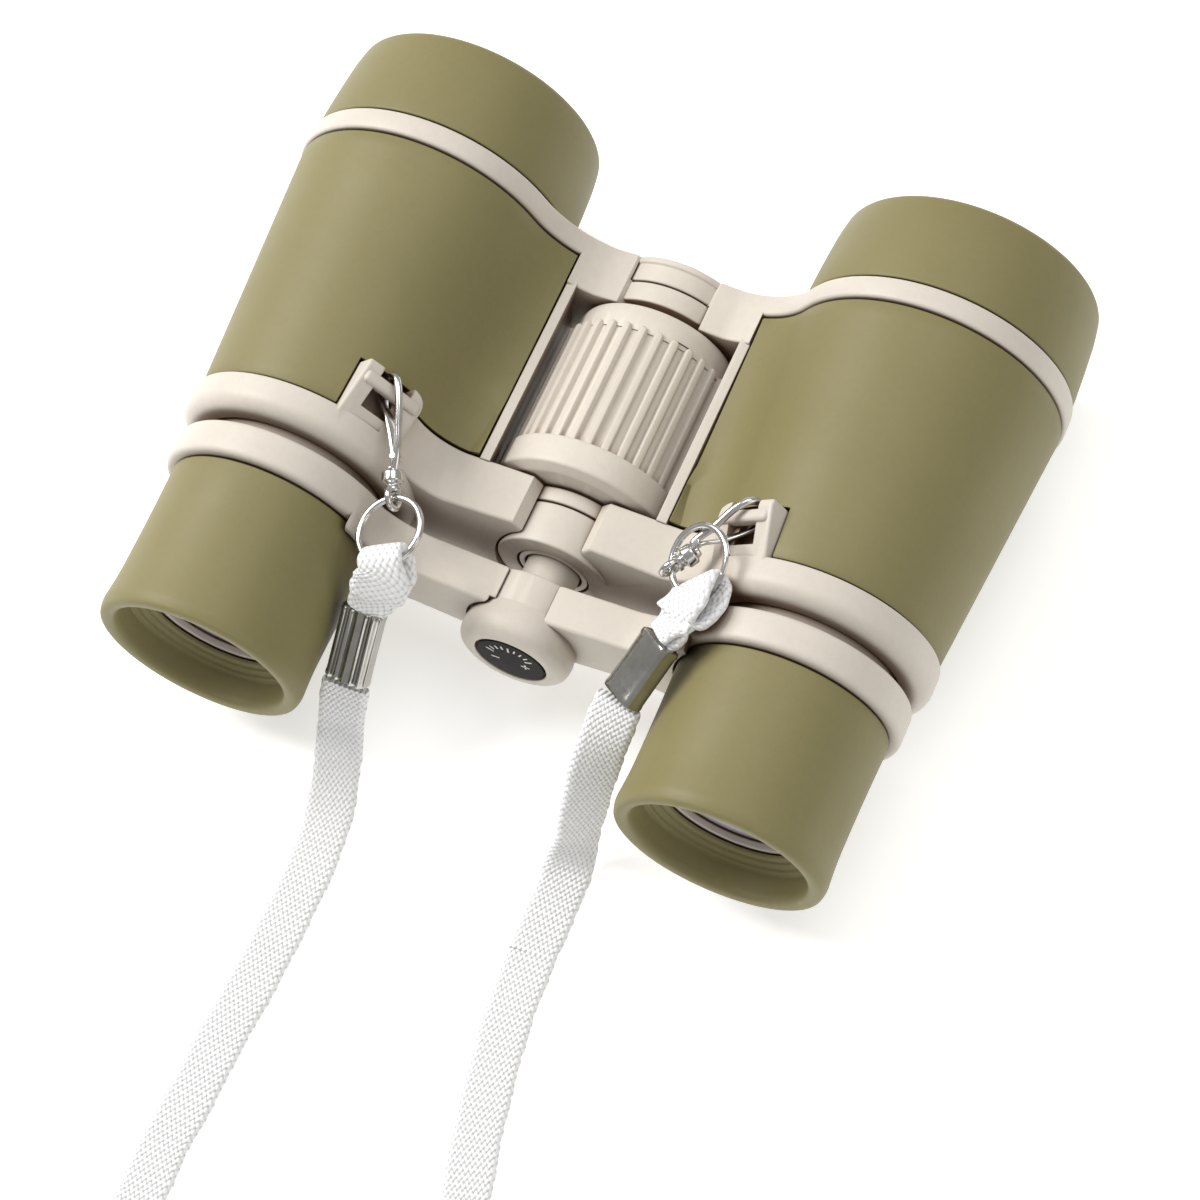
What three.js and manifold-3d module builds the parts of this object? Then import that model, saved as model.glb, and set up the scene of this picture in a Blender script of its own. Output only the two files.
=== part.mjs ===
// Small roof-less folding binoculars with a centre focus wheel and a flat neck strap.
// Millimetres, +Z up, +Y towards the objectives, +X to the user's right, z = 0 on the table.
// Each barrel is drawn in its own arm frame: u runs from the hinge axis out to the barrel,
// v is square to it, and y runs along the barrel. The arm frames are then tilted about y.

import * as THREE from 'three';
import { mergeVertices } from 'three/addons/utils/BufferGeometryUtils.js';
import Module from 'manifold-3d';

const wasm = await Module();
wasm.setup();

// ---------------------------------------------------------------- driving dimensions

const ARM = 37.5;                 // hinge axis to barrel axis
const ARM_TILT = THREE.MathUtils.degToRad(8.43);   // the arms rise outwards when wide open
const GAP = 0.3;                  // working gap between touching pieces
const ROUND = 24;                 // facets of a large round piece

const BAND_RADIUS = 20;           // front band, the largest radius
const BAND_FRONT = 42.4;
const BAND_REAR = 39.1;
const HOOD_FRONT = 57.5;
const HOOD_RADIUS = 19;
const FLANGE_RADIUS = 17.2;       // rear end of the barrel
const FLANGE_REAR = -4.9;
const SKIN = 1.3;                 // thickness of the coloured cover
const CORE_INSET = 1.85;          // structural tube under the cover, from the outer surface
const WINDOW_REAR = 5.4;          // opening that holds the focus wheel
const WINDOW_FRONT = 34.3;
const WINDOW_SIDE = 13.3;
const RAIL_OUTER = 14.7;
const STEP_SIDE = 27.2;           // where the rear bridge steps back to the flange
const REAR_PLATE_REAR = -2.3;
const REAR_DRAFT = 0.125;
const PLATE_TOP = 6.2;
const PLATE_END = 5.35;           // squared ends of the hinge plates
const LOWER_EDGE = 5.6;           // half height of the web below the arm line

const FRONT_RING = 9.7;           // hinge knuckles
const REAR_RING = 8.2;
const WHEEL_RADIUS = 13;
const RIB_COUNT = 32;
const ROD_RADIUS = 3.8;
const PIN_RADIUS = 2.4;

const EYE_BAND_RADIUS = 16;       // cream ring of the eyepiece arm
const EYE_BAND_FRONT = -6.8;
const EYE_BAND_REAR = -11.6;
const EYE_ARM_REAR = -13.2;
const EYE_TUBE_RADIUS = 12.9;
const EYECUP_RADIUS = 14.7;
const EYECUP_REAR = -34.7;
const HUB_RADIUS = 7.4;
const HUB_FRONT = -7.3;
const HUB_REAR = -17.2;
const CAP_RADIUS = 8.0;
const BADGE_RADIUS = 4.9;

const LUG_ANGLE = THREE.MathUtils.degToRad(58);    // up from the arm line, on the hinge side
const LUG_WIDTH = 10;
const LUG_SLOT = 5.2;
const LUG_TOP = 19.1;
const LUG_SLOPE = 0.35;
const BAR_Y = 5;                  // cross bar that the strap hook closes round
const BAR_HEIGHT = 18.2;
const BAR_RADIUS = 0.9;

const STRAP_WIDTH = 6.5;
const STRAP_THICK = 1.4;
const WIRE = 0.45;                // radius of the hook wire
const RING_RADIUS = 4.6;          // split ring, to the middle of its wire
const RING_WIRE = 0.55;
const COIL_CENTRE = [0, -152];    // stored length of strap, on the table
const COIL_RADIUS = 36;
const COIL_HEIGHT = 5;

const LENGTH_MIDDLE = (HOOD_FRONT + EYECUP_REAR) / 2;
const REST_HEIGHT = BAND_RADIUS - ARM * Math.sin(ARM_TILT);

// ---------------------------------------------------------------- colours

const OLIVE = [0x9b9668, 0.62, 0];
const CREAM = [0xe8ded2, 0.55, 0];
const BLACK = [0x1e1a18, 0.4, 0];
const GLASS = [0xd8d6e4, 0.05, 0];
const STEEL = [0xb9b9bb, 0.25, 1];
const WHITE = [0xf2f2f2, 0.85, 0];
const ACETAL = [0xd8cdbc, 0.45, 0];

// ---------------------------------------------------------------- geometry helpers

function signedVolume(position, index) {
  const a = new THREE.Vector3();
  const b = new THREE.Vector3();
  const c = new THREE.Vector3();
  let volume = 0;
  for (let i = 0; i < index.length; i += 3) {
    a.fromBufferAttribute(position, index[i]);
    b.fromBufferAttribute(position, index[i + 1]);
    c.fromBufferAttribute(position, index[i + 2]);
    volume += a.dot(b.cross(c));
  }
  return volume;
}

// One closed shell: shared corners merged, collapsed triangles dropped, faces pointing out.
function closed(geometry) {
  const bare = geometry.clone();
  bare.deleteAttribute('normal');
  bare.deleteAttribute('uv');
  const merged = mergeVertices(bare, 1e-4);
  const source = merged.index.array;
  const index = [];
  for (let i = 0; i < source.length; i += 3) {
    const [a, b, c] = [source[i], source[i + 1], source[i + 2]];
    if (a !== b && b !== c && c !== a) index.push(a, b, c);
  }
  if (signedVolume(merged.attributes.position, index) < 0) index.reverse();
  merged.setIndex(index);
  return merged;
}

function toSolid(geometry) {
  const shell = closed(geometry);
  return new wasm.Manifold(new wasm.Mesh({
    numProp: 3,
    vertProperties: new Float32Array(shell.attributes.position.array),
    triVerts: new Uint32Array(shell.index.array),
  }));
}

function toGeometry(solid) {
  const mesh = solid.getMesh();
  const geometry = new THREE.BufferGeometry();
  geometry.setAttribute('position', new THREE.BufferAttribute(new Float32Array(mesh.vertProperties), 3));
  geometry.setIndex(new THREE.BufferAttribute(new Uint32Array(mesh.triVerts), 1));
  return geometry;
}

function join(...geometries) {
  return toGeometry(geometries.map(toSolid).reduce((sum, solid) => sum.add(solid)));
}

function cut(geometry, ...tools) {
  return toGeometry(tools.map(toSolid).reduce((rest, tool) => rest.subtract(tool), toSolid(geometry)));
}

function common(geometry, tool) {
  return toGeometry(toSolid(geometry).intersect(toSolid(tool)));
}

// Turned piece about an axis along y, from [radius, y] pairs.
function turned(profile, x = 0, facets = ROUND) {
  const points = profile.map(([r, y]) => new THREE.Vector2(r, y));
  return closed(new THREE.LatheGeometry(points, facets)).translate(x, 0, 0);
}

function washer(inner, outer, rear, front, x = 0, facets = ROUND) {
  const profile = [[inner, rear], [outer, rear], [outer, front], [inner, front], [inner, rear]];
  return turned(profile, x, facets);
}

function cylinder(radius, rear, front, x = 0, facets = ROUND) {
  return turned([[0, rear], [radius, rear], [radius, front], [0, front]], x, facets);
}

// Outline of [x, z] pairs carried along y.
function prism(outline, rear, front) {
  const shape = new THREE.Shape(outline.map(([x, z]) => new THREE.Vector2(x, z)));
  const geometry = new THREE.ExtrudeGeometry(shape, { depth: front - rear, bevelEnabled: false });
  return closed(geometry.rotateX(Math.PI / 2).translate(0, front, 0));
}

function block(x0, x1, y0, y1, z0, z1) {
  const geometry = new THREE.BoxGeometry(Math.abs(x1 - x0), y1 - y0, z1 - z0);
  return geometry.translate((x0 + x1) / 2, (y0 + y1) / 2, (z0 + z1) / 2);
}

// Skin between rings of points with equal counts, capped at both ends.
function loft(rings) {
  const count = rings[0].length;
  const position = rings.flat().flatMap((point) => [point.x, point.y, point.z]);
  const index = [];
  for (let ring = 0; ring + 1 < rings.length; ring += 1) {
    for (let i = 0; i < count; i += 1) {
      const a = ring * count + i;
      const b = ring * count + (i + 1) % count;
      index.push(a, b, b + count, a, b + count, a + count);
    }
  }
  const flat = flatten(rings[0]);
  const last = (rings.length - 1) * count;
  for (const [a, b, c] of THREE.ShapeUtils.triangulateShape(flat, [])) {
    index.push(a, c, b, last + a, last + b, last + c);
  }
  const geometry = new THREE.BufferGeometry();
  geometry.setAttribute('position', new THREE.Float32BufferAttribute(position, 3));
  geometry.setIndex(index);
  return closed(geometry);
}

// The ring's own plane, seen so that its points run anticlockwise.
function flatten(ring) {
  const normal = new THREE.Vector3();
  ring.forEach((point, i) => {
    const next = ring[(i + 1) % ring.length];
    normal.add(point.clone().cross(next));
  });
  normal.normalize();
  const across = ring[1].clone().sub(ring[0]).normalize();
  const up = normal.clone().cross(across);
  return ring.map((point) => new THREE.Vector2(point.dot(across), point.dot(up)));
}

// Round wire along a curve.
function wire(curve, radius, steps, sides = 8) {
  const shape = new THREE.Shape();
  for (let i = 0; i < sides; i += 1) {
    const angle = (i + 0.5) * 2 * Math.PI / sides;
    const point = [radius * Math.cos(angle), radius * Math.sin(angle)];
    if (i === 0) shape.moveTo(...point);
    else shape.lineTo(...point);
  }
  return closed(new THREE.ExtrudeGeometry(shape, { steps, extrudePath: curve, bevelEnabled: false }));
}

const vector = (point) => new THREE.Vector3(...point);

function smoothCurve(points) {
  return new THREE.CatmullRomCurve3(points.map(vector), false, 'centripetal');
}

const model = new THREE.Group();
const onAxis = new THREE.Group();
onAxis.position.set(0, -LENGTH_MIDDLE, REST_HEIGHT);
model.add(onAxis);

function addPiece(group, name, geometry, [colour, roughness, metalness]) {
  const material = new THREE.MeshStandardMaterial({ color: colour, roughness, metalness });
  const mesh = new THREE.Mesh(closed(geometry), material);
  mesh.name = name;
  group.add(mesh);
  return mesh;
}

// ---------------------------------------------------------------- housing section

// Outline of a barrel and the web that joins it to the hinge, in the arm frame. The web's
// upper edge falls from startHeight to web, then sweeps up a fillet onto the round barrel.
function housingOutline({ radius, web, fillet, start, startHeight, lower, side }) {
  const edge = (height, first, sign) => {
    const reach = ARM - Math.sqrt((radius + fillet) ** 2 - (height + fillet) ** 2);
    const angle = Math.atan2(height + fillet, reach - ARM);
    const end = ARM + radius * Math.cos(angle);
    const points = [];
    const steps = 5;
    for (let i = 0; i < steps; i += 1) {
      const u = start + (end - start) * i / steps;
      const onLine = first + (height - first) * Math.min(1, (u - start) / Math.max(reach - start, 1e-6));
      const rise = u > reach ? fillet - Math.sqrt(fillet ** 2 - (u - reach) ** 2) : 0;
      points.push([side * u, sign * ((u > reach ? height : onLine) + rise)]);
    }
    return { points, angle };
  };
  const upper = edge(web, startHeight, 1);
  const under = edge(lower, lower, -1);
  const arc = [];
  const steps = 20;
  for (let i = 0; i <= steps; i += 1) {
    const angle = upper.angle + (-under.angle - upper.angle) * i / steps;
    arc.push([side * (ARM + radius * Math.cos(angle)), radius * Math.sin(angle)]);
  }
  return [...upper.points, ...arc, ...under.points.reverse()];
}

// Section at a station along the tapering barrel, inset from its outer surface.
function stationOutline(y, inset, start, side) {
  const along = y / BAND_REAR;
  return housingOutline({
    radius: 16.6 + 3.1 * along - inset,
    web: 6.2 + 0.4 * along - inset,
    fillet: 8 + 6 * along + inset,
    start,
    startHeight: 7 - inset,
    lower: LOWER_EDGE - inset,
    side,
  });
}

const at = (outline, y) => outline.map(([x, z]) => new THREE.Vector3(x, y, z));

// ---------------------------------------------------------------- one barrel

function lugBlock(side, width, y0, y1, r0, r1) {
  const geometry = block(-width / 2, width / 2, y0, y1, r0, r1);
  return geometry.rotateY(-side * (Math.PI / 2 - LUG_ANGLE)).translate(side * ARM, 0, 0);
}

// The rear plate's back face leans out towards its lower edge, as a moulded wall does.
function draftRear(geometry) {
  const position = geometry.getAttribute('position');
  for (let i = 0; i < position.count; i += 1) {
    const y = position.getY(i);
    if (y < REAR_PLATE_REAR + 0.1) {
      position.setY(i, y - REAR_DRAFT * (PLATE_TOP - position.getZ(i)));
    }
  }
  return geometry;
}

function frameGeometry(side) {
  const core = loft([
    at(stationOutline(-0.2, CORE_INSET, WINDOW_SIDE, side), -0.2),
    at(stationOutline(BAND_REAR + 0.2, CORE_INSET, WINDOW_SIDE, side), BAND_REAR + 0.2),
  ]);
  const front = housingOutline({
    radius: BAND_RADIUS, web: 6.7, fillet: 14, start: PLATE_END, startHeight: 7.9,
    lower: LOWER_EDGE, side,
  });
  const rear = housingOutline({
    radius: FLANGE_RADIUS, web: 6.2, fillet: 8, start: PLATE_END, startHeight: 8.3,
    lower: LOWER_EDGE, side,
  });
  const rail = housingOutline({
    radius: 17.5, web: 6.6, fillet: 10, start: WINDOW_SIDE, startHeight: 7.1,
    lower: LOWER_EDGE, side,
  });
  const band = prism(front, BAND_REAR, BAND_FRONT);
  const frontPlate = common(
    prism(front, WINDOW_FRONT, BAND_REAR + 0.2),
    block(0, side * RAIL_OUTER, WINDOW_FRONT - 1, BAND_REAR + 1, -20, 20),
  );
  const railWall = common(
    prism(rail, WINDOW_REAR - 0.2, WINDOW_FRONT + 0.2),
    block(0, side * RAIL_OUTER, 0, 40, -20, 20),
  );
  const rearPlate = draftRear(common(
    prism(rear, REAR_PLATE_REAR, WINDOW_REAR),
    block(0, side * STEP_SIDE, -10, 10, -20, 20),
  ));
  const x = side * ARM;
  const flange = turned([
    [13.5, FLANGE_REAR], [15.6, FLANGE_REAR], [FLANGE_RADIUS, -3.6], [FLANGE_RADIUS, 0],
    [13.5, 0], [13.5, FLANGE_REAR],
  ], x);
  const lug = lugBlock(side, LUG_WIDTH, -1, 7.2, 14, LUG_TOP);
  const slot = lugBlock(side, LUG_SLOT, 1.4, 9, 15.2, 22);
  const ramp = block(-LUG_WIDTH, LUG_WIDTH, -12, 0, 0, 6).rotateX(LUG_SLOPE)
    .translate(0, BAR_Y + 1.2, LUG_TOP).rotateY(-side * (Math.PI / 2 - LUG_ANGLE)).translate(x, 0, 0);
  const bar = new THREE.CylinderGeometry(BAR_RADIUS, BAR_RADIUS, LUG_WIDTH - 1, 10)
    .rotateZ(Math.PI / 2).translate(0, BAR_Y, BAR_HEIGHT)
    .rotateY(-side * (Math.PI / 2 - LUG_ANGLE)).translate(x, 0, 0);
  const knuckles = side < 0
    ? [cylinder(REAR_RING, 3.3, WINDOW_REAR), cylinder(FRONT_RING, WINDOW_FRONT + 1, 38.3)]
    : [cylinder(REAR_RING, -3.1, 3), cylinder(FRONT_RING, 38.6, BAND_FRONT)];
  const clearances = side < 0
    ? [cylinder(REAR_RING + GAP, -4, 3.15), cylinder(FRONT_RING + GAP, 38.45, 44)]
    : [cylinder(REAR_RING + GAP, 3.15, 5.6), cylinder(FRONT_RING + GAP, 34, 38.45)];
  const bore = turned([
    [0, -8], [13.3, -8], [13.3, 12], [14.2, 14], [16.4, 34], [16.4, 45], [0, 45],
  ], x);
  const plates = cut(join(core, band, frontPlate, railWall, rearPlate, flange), ...clearances);
  const whole = join(cut(join(plates, lug), slot, ramp), bar, ...knuckles);
  return cut(
    whole,
    bore,
    cylinder(WHEEL_RADIUS + 0.5, WINDOW_REAR, WINDOW_FRONT, 0, 36),
    cylinder(REAR_RING - 2.9, -8, WINDOW_REAR + 0.1, 0, 16),
    cylinder(PIN_RADIUS + GAP, WINDOW_FRONT - 1, 44, 0, 12),
    cylinder(5, 40.8, 44, 0, 16),
  );
}

function coverGeometry(side) {
  const start = RAIL_OUTER + GAP;
  const ring = (y) => [
    ...stationOutline(y, 0, start, side),
    ...stationOutline(y, SKIN, start, side).reverse(),
  ];
  const rear = GAP;
  const front = BAND_REAR - GAP;
  const shell = loft([at(ring(rear), rear), at(ring(front), front)]);
  const step = block(0, side * (STEP_SIDE + GAP), -1, WINDOW_REAR + GAP, -20, 30);
  return cut(shell, step, lugBlock(side, LUG_WIDTH + 2 * GAP, -1, 7.2 + GAP, 13, 24));
}

function addBarrel(group, side, label) {
  const x = side * ARM;
  addPiece(group, `${label}_frame`, frameGeometry(side), CREAM);
  addPiece(group, `${label}_barrel_cover`, coverGeometry(side), OLIVE);
  addPiece(group, `${label}_objective_hood`, turned([
    [16, 37], [16, BAND_FRONT + GAP], [19.6, BAND_FRONT + GAP], [HOOD_RADIUS, 53.8], [18.6, 56],
    [17.4, HOOD_FRONT], [16, 57.2], [15.5, 56.2], [14.2, 50], [14.2, 48.6], [15.3, 48.6],
    [15.3, 37], [16, 37],
  ], x), OLIVE);
  addPiece(group, `${label}_objective_lens`, turned([
    [0, 44.6], [8, 44.85], [15, 45.4], [15, 46.9], [11, 47.7], [6, 48.3], [0, 48.6],
  ], x), GLASS);
  addPiece(group, `${label}_lens_ring`, washer(13.6, 15, 43, 44.9, x), BLACK);
}

// ---------------------------------------------------------------- one eyepiece

function eyepieceArmGeometry(side) {
  const outline = housingOutline({
    radius: EYE_BAND_RADIUS, web: 5.4, fillet: 12, start: 4.6, startHeight: 6.2,
    lower: 4.4, side,
  });
  const plate = common(
    prism(outline, EYE_ARM_REAR, HUB_FRONT),
    block(0, side * 26, -20, 0, -20, 20),
  );
  const ring = turned([
    [13.2, EYE_BAND_REAR], [EYE_BAND_RADIUS - 0.4, EYE_BAND_REAR], [EYE_BAND_RADIUS, -11.2],
    [EYE_BAND_RADIUS, EYE_BAND_FRONT], [13.2, EYE_BAND_FRONT], [13.2, EYE_BAND_REAR],
  ], side * ARM);
  const cup = cylinder(EYECUP_RADIUS + GAP, -20, EYE_BAND_REAR, side * ARM);
  const bore = cylinder(EYE_TUBE_RADIUS + GAP, -20, 0, side * ARM);
  return cut(join(plate, ring), cup, bore);
}

// The left arm ends in a flat ring that turns inside the hub.
function leftArmGeometry() {
  const arm = cut(eyepieceArmGeometry(-1), cylinder(CAP_RADIUS + 0.2, -15, -12.2),
    cylinder(HUB_RADIUS + GAP, -14, -5));
  const tongue = block(-9, -4.4, -12, HUB_FRONT, -2.2, 2.2);
  const ring = cylinder(5.6, -12, HUB_FRONT, 0, 20);
  return cut(join(arm, tongue, ring), cylinder(ROD_RADIUS + GAP, -14, -5, 0, 16));
}

// The right arm carries the hub, a sleeve that is open on the left for the other arm's tongue.
function rightArmGeometry() {
  const arm = cut(eyepieceArmGeometry(1), cylinder(HUB_RADIUS - 0.3, -14, -5));
  const sleeve = washer(5.9, HUB_RADIUS, -12.4, HUB_FRONT, 0, 32);
  const cap = turned([
    [0, HUB_REAR + 0.8], [BADGE_RADIUS + GAP, HUB_REAR + 0.8], [BADGE_RADIUS + GAP, HUB_REAR],
    [6.2, HUB_REAR], [7.4, -16.6], [CAP_RADIUS, -15.2], [CAP_RADIUS, -14.2], [7.7, -12.9],
    [HUB_RADIUS, -12.3], [0, -12.3],
  ], 0, 32);
  const open = new THREE.Shape();
  open.moveTo(0, 0);
  const from = THREE.MathUtils.degToRad(141);
  const to = THREE.MathUtils.degToRad(298);
  for (let i = 0; i <= 8; i += 1) {
    const angle = from + (to - from) * i / 8;
    open.lineTo(12 * Math.cos(angle), 12 * Math.sin(angle));
  }
  const notch = closed(new THREE.ExtrudeGeometry(open, { depth: 6.3, bevelEnabled: false })
    .rotateX(Math.PI / 2).rotateY(ARM_TILT).translate(0, -6, 0));
  const screwHole = cylinder(1.5, -17, -11, 0, 12);
  return cut(join(arm, cut(sleeve, notch), cap), screwHole);
}

function addEyepiece(group, side, label) {
  const x = side * ARM;
  addPiece(group, `${label}_eyepiece_tube`, turned([
    [11.6, 8], [EYE_TUBE_RADIUS, 8], [EYE_TUBE_RADIUS, -23.4], [11.2, -23.4], [11.2, -28.6],
    [9.3, -28.6], [9.3, -27.6], [10, -27.6], [10, -21.5], [11.6, -20.5], [11.6, 8],
  ].reverse(), x), CREAM);
  addPiece(group, `${label}_eye_lens`, turned([
    [0, -26.2], [4, -26.4], [9.7, -27.3], [9.7, -25.8], [4, -24.9], [0, -24.7],
  ], x, 20), GLASS);
  addPiece(group, `${label}_eye_lens_ring`, washer(8.4, 9.7, -24.9, -23.5, x, 20), BLACK);
  addPiece(group, `${label}_eyecup`, turned([
    [13.2, -11.9], [EYECUP_RADIUS, -11.9], [14.5, -30], [EYECUP_RADIUS, -33.4], [14, -34.4],
    [13.3, EYECUP_REAR], [12.6, -34.3], [12.2, -33.2], [12, -30.8], [11.3, -30.6],
    [11.2, -30.1], [10.5, -29.9], [10.4, -29.5], [9.8, -29.3], [9.7, -28.9], [11.5, -28.9],
    [11.5, -23.7], [13.2, -23.7], [13.2, -11.9],
  ].reverse(), x), OLIVE);
}

// ---------------------------------------------------------------- focus wheel and hinge

function focusWheelGeometry() {
  const ribs = [];
  for (let i = 0; i < RIB_COUNT; i += 1) {
    const middle = i * 2 * Math.PI / RIB_COUNT;
    const half = Math.PI / RIB_COUNT;
    const corners = [[-0.52, 12.35], [0.52, 12.35], [0.62, 11.6], [1.38, 11.6]];
    for (const [turn, radius] of corners) {
      const angle = middle + turn * half;
      ribs.push([radius * Math.cos(angle), radius * Math.sin(angle)]);
    }
  }
  const grip = prism(ribs, 10.6, 30.2);
  const rearFlange = turned([
    [0, 5.8], [11.6, 5.8], [12.9, 6.3], [WHEEL_RADIUS, 10.6], [12, 10.8], [0, 10.8],
  ], 0, 32);
  const frontFlange = turned([
    [0, 30], [11.9, 30], [11.9, 33.2], [11, 33.9], [0, 33.9],
  ], 0, 32);
  return cut(join(grip, rearFlange, frontFlange),
    cylinder(ROD_RADIUS + 0.4, 5, 28.5, 0, 16), cylinder(PIN_RADIUS + GAP, 28, 35, 0, 12));
}

// ---------------------------------------------------------------- strap hardware

const Y_AXIS = new THREE.Vector3(0, 1, 0);

// Point at a lug: across the barrel towards the hinge, along the barrel, and out from its axis.
function lugPoint(side, across, y, radius) {
  const radial = [-Math.cos(LUG_ANGLE), Math.sin(LUG_ANGLE)];
  const u = ARM + radius * radial[0] - across * radial[1];
  const v = radius * radial[1] + across * radial[0];
  return new THREE.Vector3(side * u, y, v).applyAxisAngle(Y_AXIS, -side * ARM_TILT);
}

// A clip's pieces from the lug outwards: hook and swivel bead, split ring, strap loop, crimp.
// ring is the direction from the hook's eye to the middle of the ring, and facing is the
// ring's normal. turn says how far round the ring the strap hangs.
const CLIPS = {
  left: {
    side: -1, across: 5.4, back: 10.6, lift: 19.4, ring: [0.32, -0.95, -0.05], facing: [-0.35, -0.16, 0.92],
    turn: 0, crimp: [[-18.7, -20.4, 8], [-18.9, -28, 0.5]],
  },
  right: {
    side: 1, across: 5.5, back: 7, lift: 20, ring: [0.76, 0.21, 0.61], facing: [-0.52, -0.37, 0.77],
    turn: THREE.MathUtils.degToRad(-80), crimp: [[21.5, -14, 17], [18.7, -21.4, 12]],
  },
};

function clipLayout({ side, across, back, lift, ring, facing, turn, crimp }) {
  const bead = lugPoint(side, across, BAR_Y - back, lift);
  const outward = bead.clone().sub(lugPoint(side, 0, BAR_Y, BAR_HEIGHT)).normalize();
  const towards = vector(ring).normalize();
  const sideways = vector(facing).cross(towards).normalize();
  const eye = bead.clone().addScaledVector(outward, 2.4);
  const centre = eye.clone().addScaledVector(towards, RING_RADIUS);
  const spoke = towards.clone().multiplyScalar(Math.cos(turn)).addScaledVector(sideways, Math.sin(turn));
  const along = towards.clone().multiplyScalar(-Math.sin(turn)).addScaledVector(sideways, Math.cos(turn));
  const seat = centre.clone().addScaledVector(spoke, RING_RADIUS);
  const [crimpStart, crimpEnd] = crimp.map(vector);
  return {
    side, across, back, lift, bead, outward, towards, sideways, eye, centre, along, seat,
    crimpStart, crimpEnd,
  };
}

// Places a shape drawn in its own x, y, z with three axes and an origin.
function place(geometry, xAxis, zAxis, origin) {
  const z = zAxis.clone().addScaledVector(xAxis, -zAxis.dot(xAxis)).normalize();
  const basis = new THREE.Matrix4().makeBasis(xAxis, z.clone().cross(xAxis), z);
  return geometry.applyMatrix4(basis.setPosition(origin));
}

// Wire hook: from the bead, over the bar, round its front and back underneath to the bead.
function hookGeometry({ side, across, back, lift, bead, outward, sideways, eye }) {
  const strands = [
    [-0.75 * back, lift + 0.9], [-0.4 * back, 20.5], [0, 20.35], [1.6, 19.6], [2.1, BAR_HEIGHT],
    [1.5, 16.8], [0, 16.35], [-1.6, 16.9], [-3.4, 18.2], [-0.75 * back, lift + 0.1],
  ].map(([along, radius]) => lugPoint(side, -across * along / back, BAR_Y + along, radius));
  const swivel = place(new THREE.SphereGeometry(1.35, 10, 8), outward, sideways, bead);
  const eyeRing = place(new THREE.TorusGeometry(1.4, WIRE, 6, 14), outward, sideways, eye);
  const curve = new THREE.CatmullRomCurve3([bead, ...strands, bead], false, 'centripetal');
  return join(wire(curve, WIRE, 30, 6), swivel, eyeRing);
}

// Strap end folded round the ring, seen along the ring's wire.
function strapLoopGeometry({ seat, crimpStart, along }) {
  const down = crimpStart.clone().sub(seat);
  down.addScaledVector(along, -down.dot(along));
  const length = down.length() - 1.6;
  const outline = [[length, 1.5], [length, 0.2], [2.4, 1.2]];
  for (let i = 0; i <= 6; i += 1) {
    const angle = Math.PI / 2 + Math.PI * i / 6;
    outline.push([-0.2 + 1.5 * Math.cos(angle), 1.5 * Math.sin(angle)]);
  }
  outline.push([2.4, -1.2], [length, -0.2], [length, -1.5]);
  for (let i = 8; i >= 0; i -= 1) {
    const angle = Math.PI / 2 + Math.PI * i / 8;
    outline.push([-0.2 + 2.6 * Math.cos(angle), 2.6 * Math.sin(angle)]);
  }
  const shape = new THREE.Shape(outline.map(([x, y]) => new THREE.Vector2(x, y)));
  const width = STRAP_WIDTH - 1.5;
  const loop = new THREE.ExtrudeGeometry(shape, { depth: width, bevelEnabled: false });
  return place(closed(loop.translate(0, 0, -width / 2)), down.normalize(), along, seat);
}

// Pressed sleeve over both thicknesses of strap.
function crimpGeometry({ crimpStart, crimpEnd, along }) {
  const down = crimpEnd.clone().sub(crimpStart);
  const length = down.length();
  const [half, thick] = [STRAP_WIDTH / 2 - 0.2, STRAP_THICK + 0.4];
  const section = [
    [-half, -thick + 0.5], [-half + 0.5, -thick], [half - 0.5, -thick], [half, -thick + 0.5],
    [half, thick - 0.5], [half - 0.5, thick], [-half + 0.5, thick], [-half, thick - 0.5],
  ];
  const sleeve = prism(section, 0, length).rotateZ(-Math.PI / 2);
  return place(sleeve.rotateX(Math.PI / 2), down.normalize(), along, crimpStart);
}

// ---------------------------------------------------------------- neck strap

const TABLE = -REST_HEIGHT;       // the table top, in the hinge frame
const FLAT = TABLE + STRAP_THICK / 2 + 0.15;

// Hand-set routes of the strap, from each crimp down to the table and out to the coil.
const LEFT_ROUTE = [
  [-18.95, -28.4, 0], [-19.2, -30, -3.2], [-19.2, -32.2, -7.8], [-18.6, -35.8, -11.8],
  [-17.4, -41, FLAT], [-16.5, -46.5, FLAT], [-16.2, -52, FLAT], [-16.2, -60, FLAT], [-16.4, -68, FLAT],
  [-16.9, -76, FLAT], [-17, -84, FLAT], [-17.4, -92, FLAT], [-17.2, -100, FLAT],
  [-18.6, -106, FLAT], [-22, -112.5, FLAT], [-27, -118, FLAT],
];
const RIGHT_ROUTE = [
  [18.6, -21.8, 11.6], [17.7, -26, 6.3], [17, -29.2, 0.6], [16.5, -31.8, -5.6],
  [16.2, -35.2, -11.4], [16.2, -40, FLAT],
];
const RETURN_ROUTE = [
  [16.2, -40.35, FLAT], [16.2, -44, FLAT], [16.5, -50, FLAT], [17, -59, FLAT],
  [18.4, -68, FLAT], [20, -76, FLAT], [22, -84, FLAT], [23.4, -92, FLAT],
  [24, -100, FLAT], [24.6, -107, FLAT], [25.8, -113, FLAT], [27.4, -118, FLAT],
];

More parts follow.
